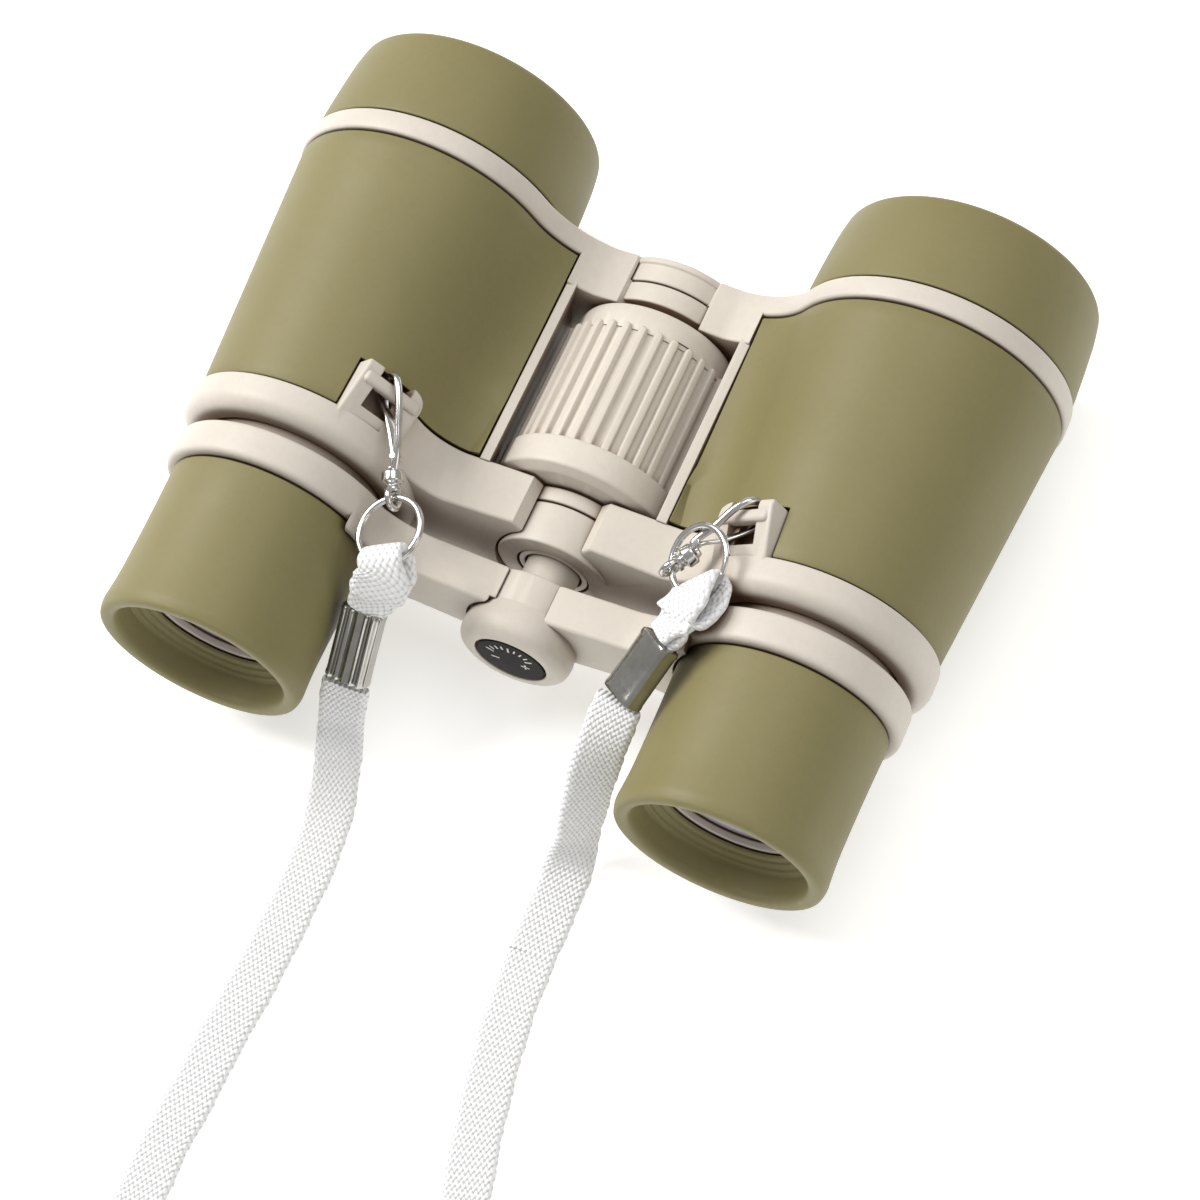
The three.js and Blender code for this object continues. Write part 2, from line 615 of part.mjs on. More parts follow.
// Flat band along a route. The band's width swings from startWidth to level.
function ribbon(route, startWidth, steps) {
  const curve = smoothCurve(route);
  const [half, thick] = [STRAP_WIDTH / 2, STRAP_THICK / 2];
  const section = [
    [-half, -thick / 2], [-half + 0.5, -thick], [half - 0.5, -thick], [half, -thick / 2],
    [half, thick / 2], [half - 0.5, thick], [-half + 0.5, thick], [-half, thick / 2],
  ];
  const rings = [];
  for (let i = 0; i <= steps; i += 1) {
    const point = curve.getPointAt(i / steps);
    const ahead = curve.getTangentAt(i / steps);
    const level = new THREE.Vector3(-ahead.y, ahead.x, 0).normalize();
    if (level.dot(startWidth) < 0) level.negate();
    const blend = Math.min(1, (point.y - route[0][1]) / (route[3][1] - route[0][1]));
    const width = startWidth.clone().multiplyScalar(1 - blend).addScaledVector(level, blend);
    width.addScaledVector(ahead, -width.dot(ahead)).normalize();
    const up = width.clone().cross(ahead).normalize();
    if (up.z < 0) up.negate();
    rings.push(section.map(([w, t]) => point.clone().addScaledVector(width, w).addScaledVector(up, t)));
  }
  return loft(rings);
}

function coilGeometry() {
  const [inner, outer] = [COIL_RADIUS - 3.8, COIL_RADIUS + 3.8];
  const ring = new THREE.LatheGeometry([
    [inner, 0.1], [outer, 0.1], [outer, COIL_HEIGHT], [inner, COIL_HEIGHT], [inner, 0.1],
  ].map(([r, z]) => new THREE.Vector2(r, z)), 36);
  return ring.rotateX(Math.PI / 2).translate(COIL_CENTRE[0], COIL_CENTRE[1], TABLE);
}

// ---------------------------------------------------------------- assembly

const leftArm = new THREE.Group();
const rightArm = new THREE.Group();
leftArm.rotation.y = ARM_TILT;
rightArm.rotation.y = -ARM_TILT;
onAxis.add(leftArm, rightArm);

addBarrel(leftArm, -1, 'left');
addBarrel(rightArm, 1, 'right');
addPiece(leftArm, 'left_eyepiece_arm', leftArmGeometry(), CREAM);
addPiece(rightArm, 'right_eyepiece_arm', rightArmGeometry(), CREAM);
addEyepiece(leftArm, -1, 'left');
addEyepiece(rightArm, 1, 'right');

addPiece(onAxis, 'focus_wheel', focusWheelGeometry(), CREAM);
addPiece(onAxis, 'focus_rod', cylinder(ROD_RADIUS, -12, 26, 0, 16), CREAM);
addPiece(onAxis, 'front_hinge_pin', join(
  cylinder(PIN_RADIUS, 29.5, 42, 0, 12), cylinder(4.6, 41.1, 42.1, 0, 16)), STEEL);
addPiece(onAxis, 'rear_hinge_bush', washer(4.15, 5, -3, 5.3, 0, 16), ACETAL);
addPiece(onAxis, 'hub_badge', cylinder(BADGE_RADIUS, HUB_REAR, HUB_REAR + 0.5, 0, 24), BLACK);

for (const [label, clip] of Object.entries(CLIPS)) {
  const layout = clipLayout(clip);
  const ring = new THREE.TorusGeometry(RING_RADIUS, RING_WIRE, 6, 24);
  const normal = layout.towards.clone().cross(layout.sideways);
  addPiece(onAxis, `${label}_strap_hook`, hookGeometry(layout), STEEL);
  addPiece(onAxis, `${label}_split_ring`, place(ring, layout.towards, normal, layout.centre), STEEL);
  addPiece(onAxis, `${label}_strap_loop`, strapLoopGeometry(layout), WHITE);
  addPiece(onAxis, `${label}_crimp`, crimpGeometry(layout), STEEL);
  if (label === 'left') addPiece(onAxis, 'strap_left_run', ribbon(LEFT_ROUTE, layout.along, 26), WHITE);
  else addPiece(onAxis, 'strap_right_end', ribbon(RIGHT_ROUTE, layout.along, 8), WHITE);
}
addPiece(onAxis, 'strap_right_run', ribbon(RETURN_ROUTE, new THREE.Vector3(1, 0, 0), 20), WHITE);
addPiece(onAxis, 'strap_coil', coilGeometry(), WHITE);

export default model;
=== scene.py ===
import math

import bmesh
import bpy
import numpy as np
from mathutils import Matrix, Vector


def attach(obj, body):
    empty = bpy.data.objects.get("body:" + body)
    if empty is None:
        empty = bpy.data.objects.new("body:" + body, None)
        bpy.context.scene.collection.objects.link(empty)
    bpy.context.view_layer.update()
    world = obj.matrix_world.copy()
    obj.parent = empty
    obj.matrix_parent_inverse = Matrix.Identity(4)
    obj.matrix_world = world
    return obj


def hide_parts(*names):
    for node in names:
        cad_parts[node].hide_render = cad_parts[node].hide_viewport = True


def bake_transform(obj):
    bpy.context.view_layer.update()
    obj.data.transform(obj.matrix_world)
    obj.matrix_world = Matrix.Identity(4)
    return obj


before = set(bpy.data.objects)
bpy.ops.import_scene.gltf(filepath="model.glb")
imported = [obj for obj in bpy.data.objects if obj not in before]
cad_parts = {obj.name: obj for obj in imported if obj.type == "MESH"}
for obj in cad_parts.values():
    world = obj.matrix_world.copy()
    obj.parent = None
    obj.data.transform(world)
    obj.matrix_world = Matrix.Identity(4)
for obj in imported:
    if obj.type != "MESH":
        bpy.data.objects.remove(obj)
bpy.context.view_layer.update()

scene = bpy.context.scene
scene.view_settings.view_transform = "Standard"
scene.view_settings.exposure = 0.2

# Shapes are drawn in millimetres in the hinge frame, where the fold axis is the y axis,
# and are moved to the row frame in metres when they are finished.
MM = 0.001
ARM = 37.5  # from the fold axis to each barrel's axis
TILT = math.radians(8.43)  # how far each arm rises from the hinge to its barrel
LENGTH_MIDDLE = 11.4
REST_HEIGHT = 20 - ARM * math.sin(TILT)
BAND_RADIUS = 20.0
BAND_FRONT = 42.4
BAND_REAR = 39.1
SKIN = 1.3
CORE_INSET = 1.85
WINDOW_REAR = 5.4
WINDOW_FRONT = 34.3
WINDOW_SIDE = 13.3
RAIL_OUTER = 14.7
STEP_SIDE = 27.2
REAR_PLATE_REAR = -2.3
REAR_DRAFT = 0.125
REAR_WEB = 6.2
PLATE_END = 5.35
LOWER_EDGE = 5.6
FLANGE_RADIUS = 17.2
FLANGE_REAR = -4.9
FRONT_RING = 9.7
REAR_RING = 8.2
WHEEL_RADIUS = 13.0
RIB_COUNT = 32
ROD_RADIUS = 3.8
EYE_BAND_RADIUS = 16.0
EYE_BAND_FRONT = -6.8
EYE_BAND_REAR = -11.6
EYE_ARM_REAR = -13.2
HUB_RADIUS = 7.4
HUB_FRONT = -7.3
HUB_REAR = -17.2
CAP_RADIUS = 8.0
BADGE_RADIUS = 4.9
LUG_ANGLE = math.radians(58)
LUG_WIDTH = 10.0
LUG_SLOT = 5.2
LUG_TOP = 19.1
LUG_SLOPE = 0.35
BAR_Y = 5.0
BAR_HEIGHT = 18.2
STRAP_WIDTH = 6.5
STRAP_THICK = 1.4
RING_RADIUS = 4.6
COIL_CENTRE = (0.0, -152.0)
COIL_RADIUS = 36.0
COIL_WOBBLE = 0.45
COIL_STEPS = 24
COIL_ENTRY = 0.35
STRAP_STEP = 0.65
FLAT = 0.85 - REST_HEIGHT  # the middle height of a strap that lies on the table

# The two barrels' and the eyepieces' shared fits.
LUG_FRONT = 7.2
LUG_CORNER = 2.4
KNUCKLE_GAP = 0.3
HINGE_SPLIT_REAR = 3.15
HINGE_SPLIT_FRONT = 38.45
EYE_SEAT = 13.2
EYE_LENS_RADIUS = 9.7
LENS_RADIUS = 15.0

# FAR is past the part in any direction, for blocks that cut it. The rest are how finely
# round pieces and rounded edges are drawn.
FAR = 20
FINE_TURN = 160
TURN = 128
SMALL_TURN = 96
EDGE_STEPS = 4

HINGE = Matrix.Diagonal((MM, MM, MM, 1)) @ Matrix.Translation((0, -LENGTH_MIDDLE, REST_HEIGHT))


def arm_matrix(side):
    return HINGE @ Matrix.Rotation(-side * TILT, 4, "Y")


# ---------------------------------------------------------------- mesh helpers

def add_object(name, data):
    obj = bpy.data.objects.new(name, data)
    scene.collection.objects.link(obj)
    return obj


def tidy_mesh(mesh, weld):
    """Turns the faces outwards, after merging points that are closer than weld."""
    bm = bmesh.new()
    bm.from_mesh(mesh)
    if weld:
        bmesh.ops.remove_doubles(bm, verts=bm.verts, dist=weld)
    bmesh.ops.recalc_face_normals(bm, faces=bm.faces)
    bm.to_mesh(mesh)
    bm.free()


def new_object(name, verts, faces):
    mesh = bpy.data.meshes.new(name)
    mesh.from_pydata([tuple(v) for v in verts], [], faces)
    tidy_mesh(mesh, 1e-5)
    return add_object(name, mesh)


def bake(obj):
    graph = bpy.context.evaluated_depsgraph_get()
    mesh = bpy.data.meshes.new_from_object(obj.evaluated_get(graph))
    old = obj.data
    obj.modifiers.clear()
    obj.data = mesh
    bpy.data.meshes.remove(old)
    return obj


def boolean(obj, operation, tools):
    for tool in tools:
        modifier = obj.modifiers.new("join", "BOOLEAN")
        modifier.operation = operation
        modifier.solver = "MANIFOLD"
        modifier.object = tool
        bake(obj)
        bpy.data.objects.remove(tool)
    return obj


def join(obj, *tools):
    return boolean(obj, "UNION", tools)


def cut(obj, *tools):
    return boolean(obj, "DIFFERENCE", tools)


def common(obj, *tools):
    return boolean(obj, "INTERSECT", tools)


def merge(obj, *others):
    """Puts other objects' meshes into obj's mesh, as loose parts of one piece."""
    bm = bmesh.new()
    for part in (obj,) + others:
        bm.from_mesh(part.data)
    mesh = bpy.data.meshes.new(obj.name)
    bm.to_mesh(mesh)
    bm.free()
    obj.data = mesh
    for part in others:
        bpy.data.objects.remove(part)
    return obj


def finish(obj, name, body, material, nodes=(), matrix=HINGE, angle=32):
    """Moves a piece to the row frame, shades it, and says what it is. Creases over angle stay sharp."""
    obj.data.transform(matrix)
    obj.data.update()
    obj.data.shade_smooth()
    obj.data.set_sharp_from_angle(angle=math.radians(angle))
    obj.name = name
    obj.data.materials.clear()
    obj.data.materials.append(material)
    for polygon in obj.data.polygons:
        polygon.material_index = 0
    if body:
        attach(obj, body)
    if nodes:
        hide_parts(*nodes)
    return obj


def round_path(points, radius, closed=False, segments=5):
    """A profile's corners rounded. radius is one number, or one for each point."""
    count = len(points)
    radii = radius if hasattr(radius, "__len__") else [radius] * count
    out = []
    for i, point in enumerate(points):
        p = Vector(point)
        if radii[i] <= 0 or (not closed and i in (0, count - 1)):
            out.append(tuple(p))
            continue
        a = Vector(points[i - 1]) - p
        b = Vector(points[(i + 1) % count]) - p
        if a.length < 1e-6 or b.length < 1e-6:
            out.append(tuple(p))
            continue
        reach = min(radii[i], 0.48 * a.length, 0.48 * b.length)
        start = p + a.normalized() * reach
        end = p + b.normalized() * reach
        for k in range(segments + 1):
            t = k / segments
            out.append(tuple((1 - t) ** 2 * start + 2 * t * (1 - t) * p + t ** 2 * end))
    return out


def revolve(profile, x=0.0, count=TURN):
    """Closed profile of (radius, y) about an axis along y at x."""
    verts = []
    rows = []
    for radius, y in profile:
        if radius < 1e-6:
            rows.append([len(verts)] * count)
            verts.append((x, y, 0))
            continue
        rows.append(list(range(len(verts), len(verts) + count)))
        for k in range(count):
            angle = 2 * math.pi * k / count
            verts.append((x + radius * math.cos(angle), y, radius * math.sin(angle)))
    faces = []
    closed = profile[0][0] > 1e-6
    total = len(rows) if closed else len(rows) - 1
    for i in range(total):
        a, b = rows[i], rows[(i + 1) % len(rows)]
        for k in range(count):
            j = (k + 1) % count
            quad = []
            for index in (a[k], a[j], b[j], b[k]):
                if index not in quad:
                    quad.append(index)
            if len(quad) > 2:
                faces.append(quad)
    return new_object("turned", verts, faces)


def cylinder(radius, rear, front, x=0.0, count=SMALL_TURN, edge=0.0):
    profile = [(0, rear), (radius, rear), (radius, front), (0, front)]
    return revolve(round_path(profile, edge), x, count)


def washer(inner, outer, rear, front, x=0.0, count=SMALL_TURN, edge=0.0):
    profile = [(inner, rear), (outer, rear), (outer, front), (inner, front)]
    return revolve(round_path(profile, edge, True, 4), x, count)


def block(x0, x1, y0, y1, z0, z1):
    x0, x1 = min(x0, x1), max(x0, x1)
    verts = [(x, y, z) for x in (x0, x1) for y in (y0, y1) for z in (z0, z1)]
    faces = [(0, 1, 3, 2), (4, 6, 7, 5), (0, 4, 5, 1), (2, 3, 7, 6), (0, 2, 6, 4), (1, 5, 7, 3)]
    return new_object("block", verts, faces)


def loft(rings):
    """A closed skin over rings that have the same number of points."""
    count = len(rings[0])
    verts = [point for ring in rings for point in ring]
    faces = []
    for r in range(len(rings) - 1):
        for k in range(count):
            j = (k + 1) % count
            faces.append((r * count + k, r * count + j, (r + 1) * count + j, (r + 1) * count + k))
    last = (len(rings) - 1) * count
    faces.append(tuple(range(count)))
    faces.append(tuple(last + k for k in reversed(range(count))))
    return new_object("loft", verts, faces)


def inset(outline, distance):
    """A closed outline drawn in by a distance, turning each corner on its half angle."""
    points = np.array(outline, float)
    after = np.roll(points, -1, 0) - points
    after /= np.linalg.norm(after, axis=1)[:, None]
    before = np.roll(after, 1, 0)
    area = np.sum(points[:, 0] * np.roll(points[:, 1], -1) - np.roll(points[:, 0], -1) * points[:, 1])
    sign = 1 if area > 0 else -1
    normal_a = np.stack([-after[:, 1], after[:, 0]], 1) * sign
    normal_b = np.stack([-before[:, 1], before[:, 0]], 1) * sign
    mean = normal_a + normal_b
    mean /= np.maximum(np.sum(mean * normal_a, axis=1), 0.5)[:, None]
    return points + mean * distance


def prism(outline, rear, front, edge=0.35):
    """An outline of (x, z) carried along y, with its two ends' edges rounded."""
    rings = []
    for end, sign in ((rear, 1), (front, -1)):
        part = []
        for k in range(EDGE_STEPS + 1):
            angle = math.pi / 2 * k / EDGE_STEPS
            depth = edge * (1 - math.sin(angle))
            shape = inset(outline, depth) if depth > 1e-6 else np.array(outline, float)
            y = end + sign * edge * (1 - math.cos(angle))
            part.append([(p[0], y, p[1]) for p in shape])
        rings += part if sign > 0 else part[::-1]
    return loft(rings)


# ---------------------------------------------------------------- materials

def put(tree, entry, value):
    """Gives a node's input a plain value, or links a socket to it."""
    if isinstance(value, bpy.types.NodeSocket):
        tree.links.new(value, entry)
    else:
        entry.default_value = value


def feed(tree, made, **values):
    """Fills a node's inputs and settings. In an input's name, _ stands for a space."""
    for key, value in values.items():
        name = key.replace("_", " ")
        if name in made.inputs:
            put(tree, made.inputs[name], value)
        else:
            setattr(made, key, value)
    return made


def node(tree, kind, **values):
    return feed(tree, tree.nodes.new(kind), **values)


def shader(name):
    material = bpy.data.materials.new(name)
    material.use_nodes = True
    tree = material.node_tree
    tree.nodes.clear()
    surface = tree.nodes.new("ShaderNodeBsdfPrincipled")
    node(tree, "ShaderNodeOutputMaterial", Surface=surface.outputs["BSDF"])
    return material, tree, surface


def ramp(tree, source, *stops):
    """A colour from a value, between two (position, colour) stops."""
    made = node(tree, "ShaderNodeValToRGB", Fac=source)
    for element, (position, colour) in zip(made.color_ramp.elements, stops):
        element.position = position
        element.color = (*colour, 1)
    return made.outputs["Color"]


def noise(tree, scale, detail, roughness=0.5):
    """Noise in object coordinates, so that it stays on its piece."""
    place = tree.nodes.new("ShaderNodeTexCoord").outputs["Object"]
    made = node(tree, "ShaderNodeTexNoise", Vector=place, Scale=scale, Detail=detail, Roughness=roughness)
    return made.outputs["Fac"]


def spread(tree, source, low, high):
    return node(tree, "ShaderNodeMapRange", Value=source, To_Min=low, To_Max=high).outputs["Result"]


def bump(tree, height, strength, distance, **rest):
    made = node(tree, "ShaderNodeBump", Height=height, Strength=strength, Distance=distance, **rest)
    return made.outputs["Normal"]


def mix_colours(tree, first, second, blend="MIX", factor=0.5):
    made = node(tree, "ShaderNodeMix", data_type="RGBA", blend_type=blend, Factor=factor)
    put(tree, made.inputs[6], first)
    put(tree, made.inputs[7], second)
    return made.outputs[2]


def shade(colour, factor):
    return tuple(min(1.0, c * factor) for c in colour)


def moulded(name, colour, roughness=0.5, grain=2600.0, depth=0.00002, edge=0.00022, wear=1.1,
            shade_reach=0.008, painted_shade_colour=(0.25, 0.15, 0.08), gloss_level=0.42):
    """Moulded plastic: slow colour drift, spark-eroded grain, worn edges, and painted shade that darkens
    its hollows.
    """
    material, tree, surface = shader(name)
    drift = noise(tree, 38.0, 3.0, 0.55)
    tone = ramp(tree, drift, (0.3, shade(colour, 0.955)), (0.7, shade(colour, 1.03)))
    fleck = ramp(tree, noise(tree, 900.0, 4.0, 0.7), (0.35, (0.93, 0.93, 0.93)), (0.6, (1, 1, 1)))
    mixed = mix_colours(tree, tone, fleck, "MULTIPLY")
    where = tree.nodes.new("ShaderNodeNewGeometry")
    rim = ramp(tree, where.outputs["Pointiness"], (0.53, (0, 0, 0)), (0.62, (1, 1, 1)))
    edges = mix_colours(tree, mixed, (*shade(colour, wear), 1), factor=rim)
    # Painted shade: ambient occlusion darkens hollows and the gaps between parts towards a warm brown,
    # which stands for shade and for light bounced between cream walls.
    occlusion = node(tree, "ShaderNodeAmbientOcclusion", samples=8, Distance=shade_reach)
    shadow = ramp(tree, occlusion.outputs["AO"], (0.14, painted_shade_colour), (0.64, (1, 1, 1)))
    corner = node(tree, "ShaderNodeBevel", samples=4, Radius=edge)
    feed(
        tree, surface, Base_Color=mix_colours(tree, edges, shadow, "MULTIPLY", 1.0),
        Roughness=spread(tree, noise(tree, 120.0, 2.0), roughness - 0.06, roughness + 0.08),
        Normal=bump(tree, noise(tree, grain, 2.0, 0.6), 0.6, depth, Normal=corner.outputs["Normal"]),
        Specular_IOR_Level=gloss_level)
    return material


def metal(name, colour, roughness):
    """Polished metal with grime in patches and fine scratches."""
    material, tree, surface = shader(name)
    lines = noise(tree, 2400.0, 2.0)
    feed(
        tree, surface, Metallic=1.0,
        Base_Color=ramp(tree, noise(tree, 420.0, 4.0), (0.3, shade(colour, 0.82)), (0.65, colour)),
        Roughness=spread(tree, lines, max(0.02, roughness - 0.08), roughness + 0.08),
        Normal=bump(tree, lines, 0.25, 0.00001))
    return material


def lens_glass(name, colour, centre, clear):
    """Coated lens: two close colours in a slow haze, fine dust, and a faint coating tint."""
    material, tree, surface = shader(name)
    feed(
        tree, surface, Transmission_Weight=clear, IOR=1.52,
        Base_Color=ramp(tree, noise(tree, 160.0, 3.0), (0.3, shade(colour, 0.9)), (0.7, centre)),
        Roughness=spread(tree, noise(tree, 5200.0, 1.0), 0.0, 0.06),
        Coat_Weight=0.6, Coat_Roughness=0.02, Coat_Tint=(0.86, 0.82, 1.0, 1))
    return material


def woven(name, colour, painted_gap_shade, pitch):
    """Flat braid: two sets of diagonal strands that pass over and under each other, with painted shade
    between them.
    """
    material, tree, surface = shader(name)
    uv = node(tree, "ShaderNodeUVMap", uv_map="braid").outputs["UV"]
    parts = node(tree, "ShaderNodeSeparateXYZ", Vector=uv)

    def maths(operation, *values):
        made = node(tree, "ShaderNodeMath", operation=operation)
        for entry, value in zip(made.inputs, values):
            put(tree, entry, value)
        return made.outputs[0]

    def crown(place):
        return maths("SINE", maths("MULTIPLY", maths("FRACT", place), math.pi))

    def weigh(a, share_a, b, share_b):
        return maths("ADD", maths("MULTIPLY", a, share_a), maths("MULTIPLY", b, share_b))

    along = maths("DIVIDE", parts.outputs["X"], pitch * 1.5)
    across = maths("DIVIDE", parts.outputs["Y"], pitch)
    u = maths("ADD", along, across)
    v = maths("SUBTRACT", along, across)
    crown_u, crown_v = crown(u), crown(v)
    odd = maths("FRACT", maths("MULTIPLY", maths("ADD", maths("FLOOR", u), maths("FLOOR", v)), 0.5))
    over = maths("GREATER_THAN", odd, 0.25)
    under = maths("SUBTRACT", 1.0, over)
    upper = weigh(crown_u, over, crown_v, under)
    lower = weigh(crown_v, over, crown_u, under)
    strand = weigh(upper, 0.8, lower, 0.35)
    height = maths("ADD", strand, maths("MULTIPLY", noise(tree, 3800.0, 3.0, 0.7), 0.45))
    feed(
        # Painted shade: the colour darkens to a bluish grey where the strands dip between each other and
        # where one strand passes under another.
        tree, surface, Base_Color=ramp(tree, strand, (0.28, painted_gap_shade), (0.62, colour)), Roughness=0.85,
        Normal=bump(tree, height, 0.9, 0.00022), Sheen_Weight=0.35, Sheen_Roughness=0.5,
        Specular_IOR_Level=0.2)
    return material


# Each moulded material below paints shade into its hollows and gaps; the olive one has its own darker
# painted shade.
CREAM = moulded("cream_moulded", (0.625, 0.573, 0.508), 0.46, wear=1.06)
WHEEL = moulded("wheel_moulded", (0.660, 0.605, 0.535), 0.46, wear=1.06, shade_reach=0.0016)
OLIVE = moulded("olive_moulded", (0.214, 0.188, 0.078), 0.52, depth=0.000026, wear=1.16,
                shade_reach=0.01, painted_shade_colour=(0.10, 0.08, 0.045))
BLACK = moulded("black_moulded", (0.022, 0.019, 0.016), 0.42)
BADGE = moulded("badge_lacquer", (0.008, 0.006, 0.005), 0.5, depth=0.000008, wear=1.6, gloss_level=0.12)
INK = moulded("badge_ink", (0.82, 0.80, 0.78), 0.5, depth=0.000008)
STEEL = metal("clip_chrome", (0.72, 0.71, 0.70), 0.17)
CRIMP_STEEL = metal("crimp_steel", (0.50, 0.49, 0.46), 0.15)
PIN = metal("pin_steel", (0.5, 0.5, 0.52), 0.35)
ACETAL = moulded("bush_acetal", (0.60, 0.55, 0.49), 0.34, shade_reach=0.002)
# The eye lens lets no light through: its near-white colour is painted light, standing for the light that
# comes down the barrel through the clear glass.
EYE_LENS_PAINTED_LIGHT = lens_glass("eye_lens_painted_light", (0.97, 0.93, 0.93), (0.98, 0.95, 0.95), 0.0)
FRONT_GLASS = lens_glass("objective_glass", (0.72, 0.72, 0.80), (0.88, 0.90, 0.95), 0.92)
# The strap's second colour, a bluish grey, is painted shade between its strands.
BRAID = woven("strap_braid", (0.94, 0.94, 0.94), (0.66, 0.69, 0.75), 0.72)

# ---------------------------------------------------------------- camera, floor and light

CAMERA_PLACE = (0.1087, -0.1815, 0.4133)
CAMERA_RIGHT = Vector((0.9155, 0.3966, -0.0675))
CAMERA_FORWARD = Vector((-0.2279, 0.3732, -0.8993))
CAMERA_LENS = 99.4

camera_data = bpy.data.cameras.new("camera")
camera_data.lens = CAMERA_LENS
camera_data.sensor_width = 36
camera_data.clip_end = 20
camera = add_object("camera", camera_data)
right = CAMERA_RIGHT.normalized()
forward = (CAMERA_FORWARD - right * CAMERA_FORWARD.dot(right)).normalized()
up = right.cross(forward)
turn = Matrix((right, up, -forward)).transposed().to_4x4()
camera.matrix_world = Matrix.Translation(CAMERA_PLACE) @ turn
scene.camera = camera

floor = new_object("floor", [(-6, -6, 0), (6, -6, 0), (6, 6, 0), (-6, 6, 0)], [(0, 1, 2, 3)])
material, tree, surface = shader("floor_paper")
paper = ramp(tree, noise(tree, 600.0, 3.0), (0.3, (0.90, 0.90, 0.895)), (0.7, (0.93, 0.93, 0.925)))
feed(tree, surface, Base_Color=paper, Roughness=0.9, Specular_IOR_Level=0.1,
     Emission_Color=(1, 1, 0.995, 1), Emission_Strength=0.4)
floor.data.materials.append(material)

world = bpy.data.worlds.new("studio")
scene.world = world
world.use_nodes = True
feed(world.node_tree, world.node_tree.nodes["Background"], Color=(1.0, 0.99, 0.975, 1), Strength=0.34)

LIGHT_TARGET = Vector((0, 0, 0.02))


def area_light(name, place_at, size, energy, colour):
    data = bpy.data.lights.new(name, "AREA")
    data.shape = "DISK"
    data.size = size
    data.energy = energy
    data.color = colour
    lamp = add_object(name, data)
    lamp.location = place_at
    aim = (LIGHT_TARGET - Vector(place_at)).to_track_quat("-Z", "Y")
    lamp.rotation_euler = aim.to_euler()


area_light("key", (-1.0, 0.06, 0.95), 0.8, 15.5, (1.0, 0.985, 0.96))
area_light("top", (0.1, 0.35, 1.3), 0.9, 4.2, (1.0, 0.99, 0.975))
area_light("right", (0.95, -0.2, 0.7), 0.7, 1.4, (1.0, 0.98, 0.93))

# ---------------------------------------------------------------- paths, wires and ribbons

def distances(line):
    """How far along a line each of its points is."""
    return np.concatenate([[0], np.cumsum(np.linalg.norm(np.diff(line, axis=0), axis=1))])


def between(t, low, high, a, b):
    return (high - t) / (high - low) * a + (t - low) / (high - low) * b


def smooth_path(points, spacing):
    """Catmull-Rom curve through the points, cut into equal steps."""
    p = np.array(points, float)
    p = np.vstack([2 * p[0] - p[1], p, 2 * p[-1] - p[-2]])
    out = []
    for i in range(1, len(p) - 2):
        a, b, c, d = p[i - 1:i + 3]
        knots = [0.0]
        for q, r in ((a, b), (b, c), (c, d)):
            knots.append(knots[-1] + max(np.linalg.norm(r - q), 1e-6) ** 0.5)
        k0, k1, k2, k3 = knots
        for t in np.linspace(k1, k2, 24, endpoint=False):
            ab, bc, cd = between(t, k0, k1, a, b), between(t, k1, k2, b, c), between(t, k2, k3, c, d)
            out.append(between(t, k1, k2, between(t, k0, k2, ab, bc), between(t, k1, k3, bc, cd)))
    out.append(p[-2])
    out = np.array(out)
    run = distances(out)
    count = max(2, int(round(run[-1] / spacing)))
    marks = np.linspace(0, run[-1], count + 1)
    return np.stack([np.interp(marks, run, out[:, k]) for k in range(3)], 1)


def tangents(line):
    ahead = np.gradient(line, axis=0)
    return ahead / np.linalg.norm(ahead, axis=1)[:, None]


def sweep(line, sections, widths, closed=False):
    """Sections of (across, up) pairs carried along a line. widths gives the across directions."""
    ahead = tangents(line)
    verts = []
    count = len(sections[0])
    for point, shape, width, direction in zip(line, sections, widths, ahead):
        w = width - direction * np.dot(width, direction)
        w /= np.linalg.norm(w)
        lift = np.cross(w, direction)
        verts.append(point + shape[:, :1] * w + shape[:, 1:] * lift)
    verts = np.concatenate(verts)
    faces = []
    rows = len(line)
    for r in range(rows if closed else rows - 1):
        s = (r + 1) % rows
        for k in range(count):
            j = (k + 1) % count
            faces.append((r * count + k, r * count + j, s * count + j, s * count + k))
    if not closed:
        faces.append(tuple(range(count)))
        faces.append(tuple((rows - 1) * count + k for k in reversed(range(count))))
    mesh = bpy.data.meshes.new("sweep")
    mesh.from_pydata([tuple(v) for v in verts], [], faces)
    run = distances(line)
    layer = mesh.uv_layers.new(name="braid")
    for polygon in mesh.polygons:
        for loop in polygon.loop_indices:
            r, k = divmod(mesh.loops[loop].vertex_index, count)
            layer.data[loop].uv = (run[r], sections[0][k][0])
    tidy_mesh(mesh, 0)
    return add_object("sweep", mesh)


def oval(across, up, sides):
    angles = np.linspace(0, 2 * np.pi, sides, endpoint=False)
    return np.stack([across * np.cos(angles), up * np.sin(angles)], 1)


def wire(points, radius, spacing=0.22, closed=False):
    """Round wire whose section doesn't twist. A closed one's points are already fine."""
    line = smooth_path(points, spacing) if not closed else np.array(points, float)
    ahead = tangents(line)
    width = np.cross(ahead[0], (0.3, 0.2, 1.0))
    widths = []
    for direction in ahead:
        width = width - direction * np.dot(width, direction)
        width /= np.linalg.norm(width)
        widths.append(width.copy())
    return sweep(line, [oval(radius, radius, 14)] * len(line), widths, closed)


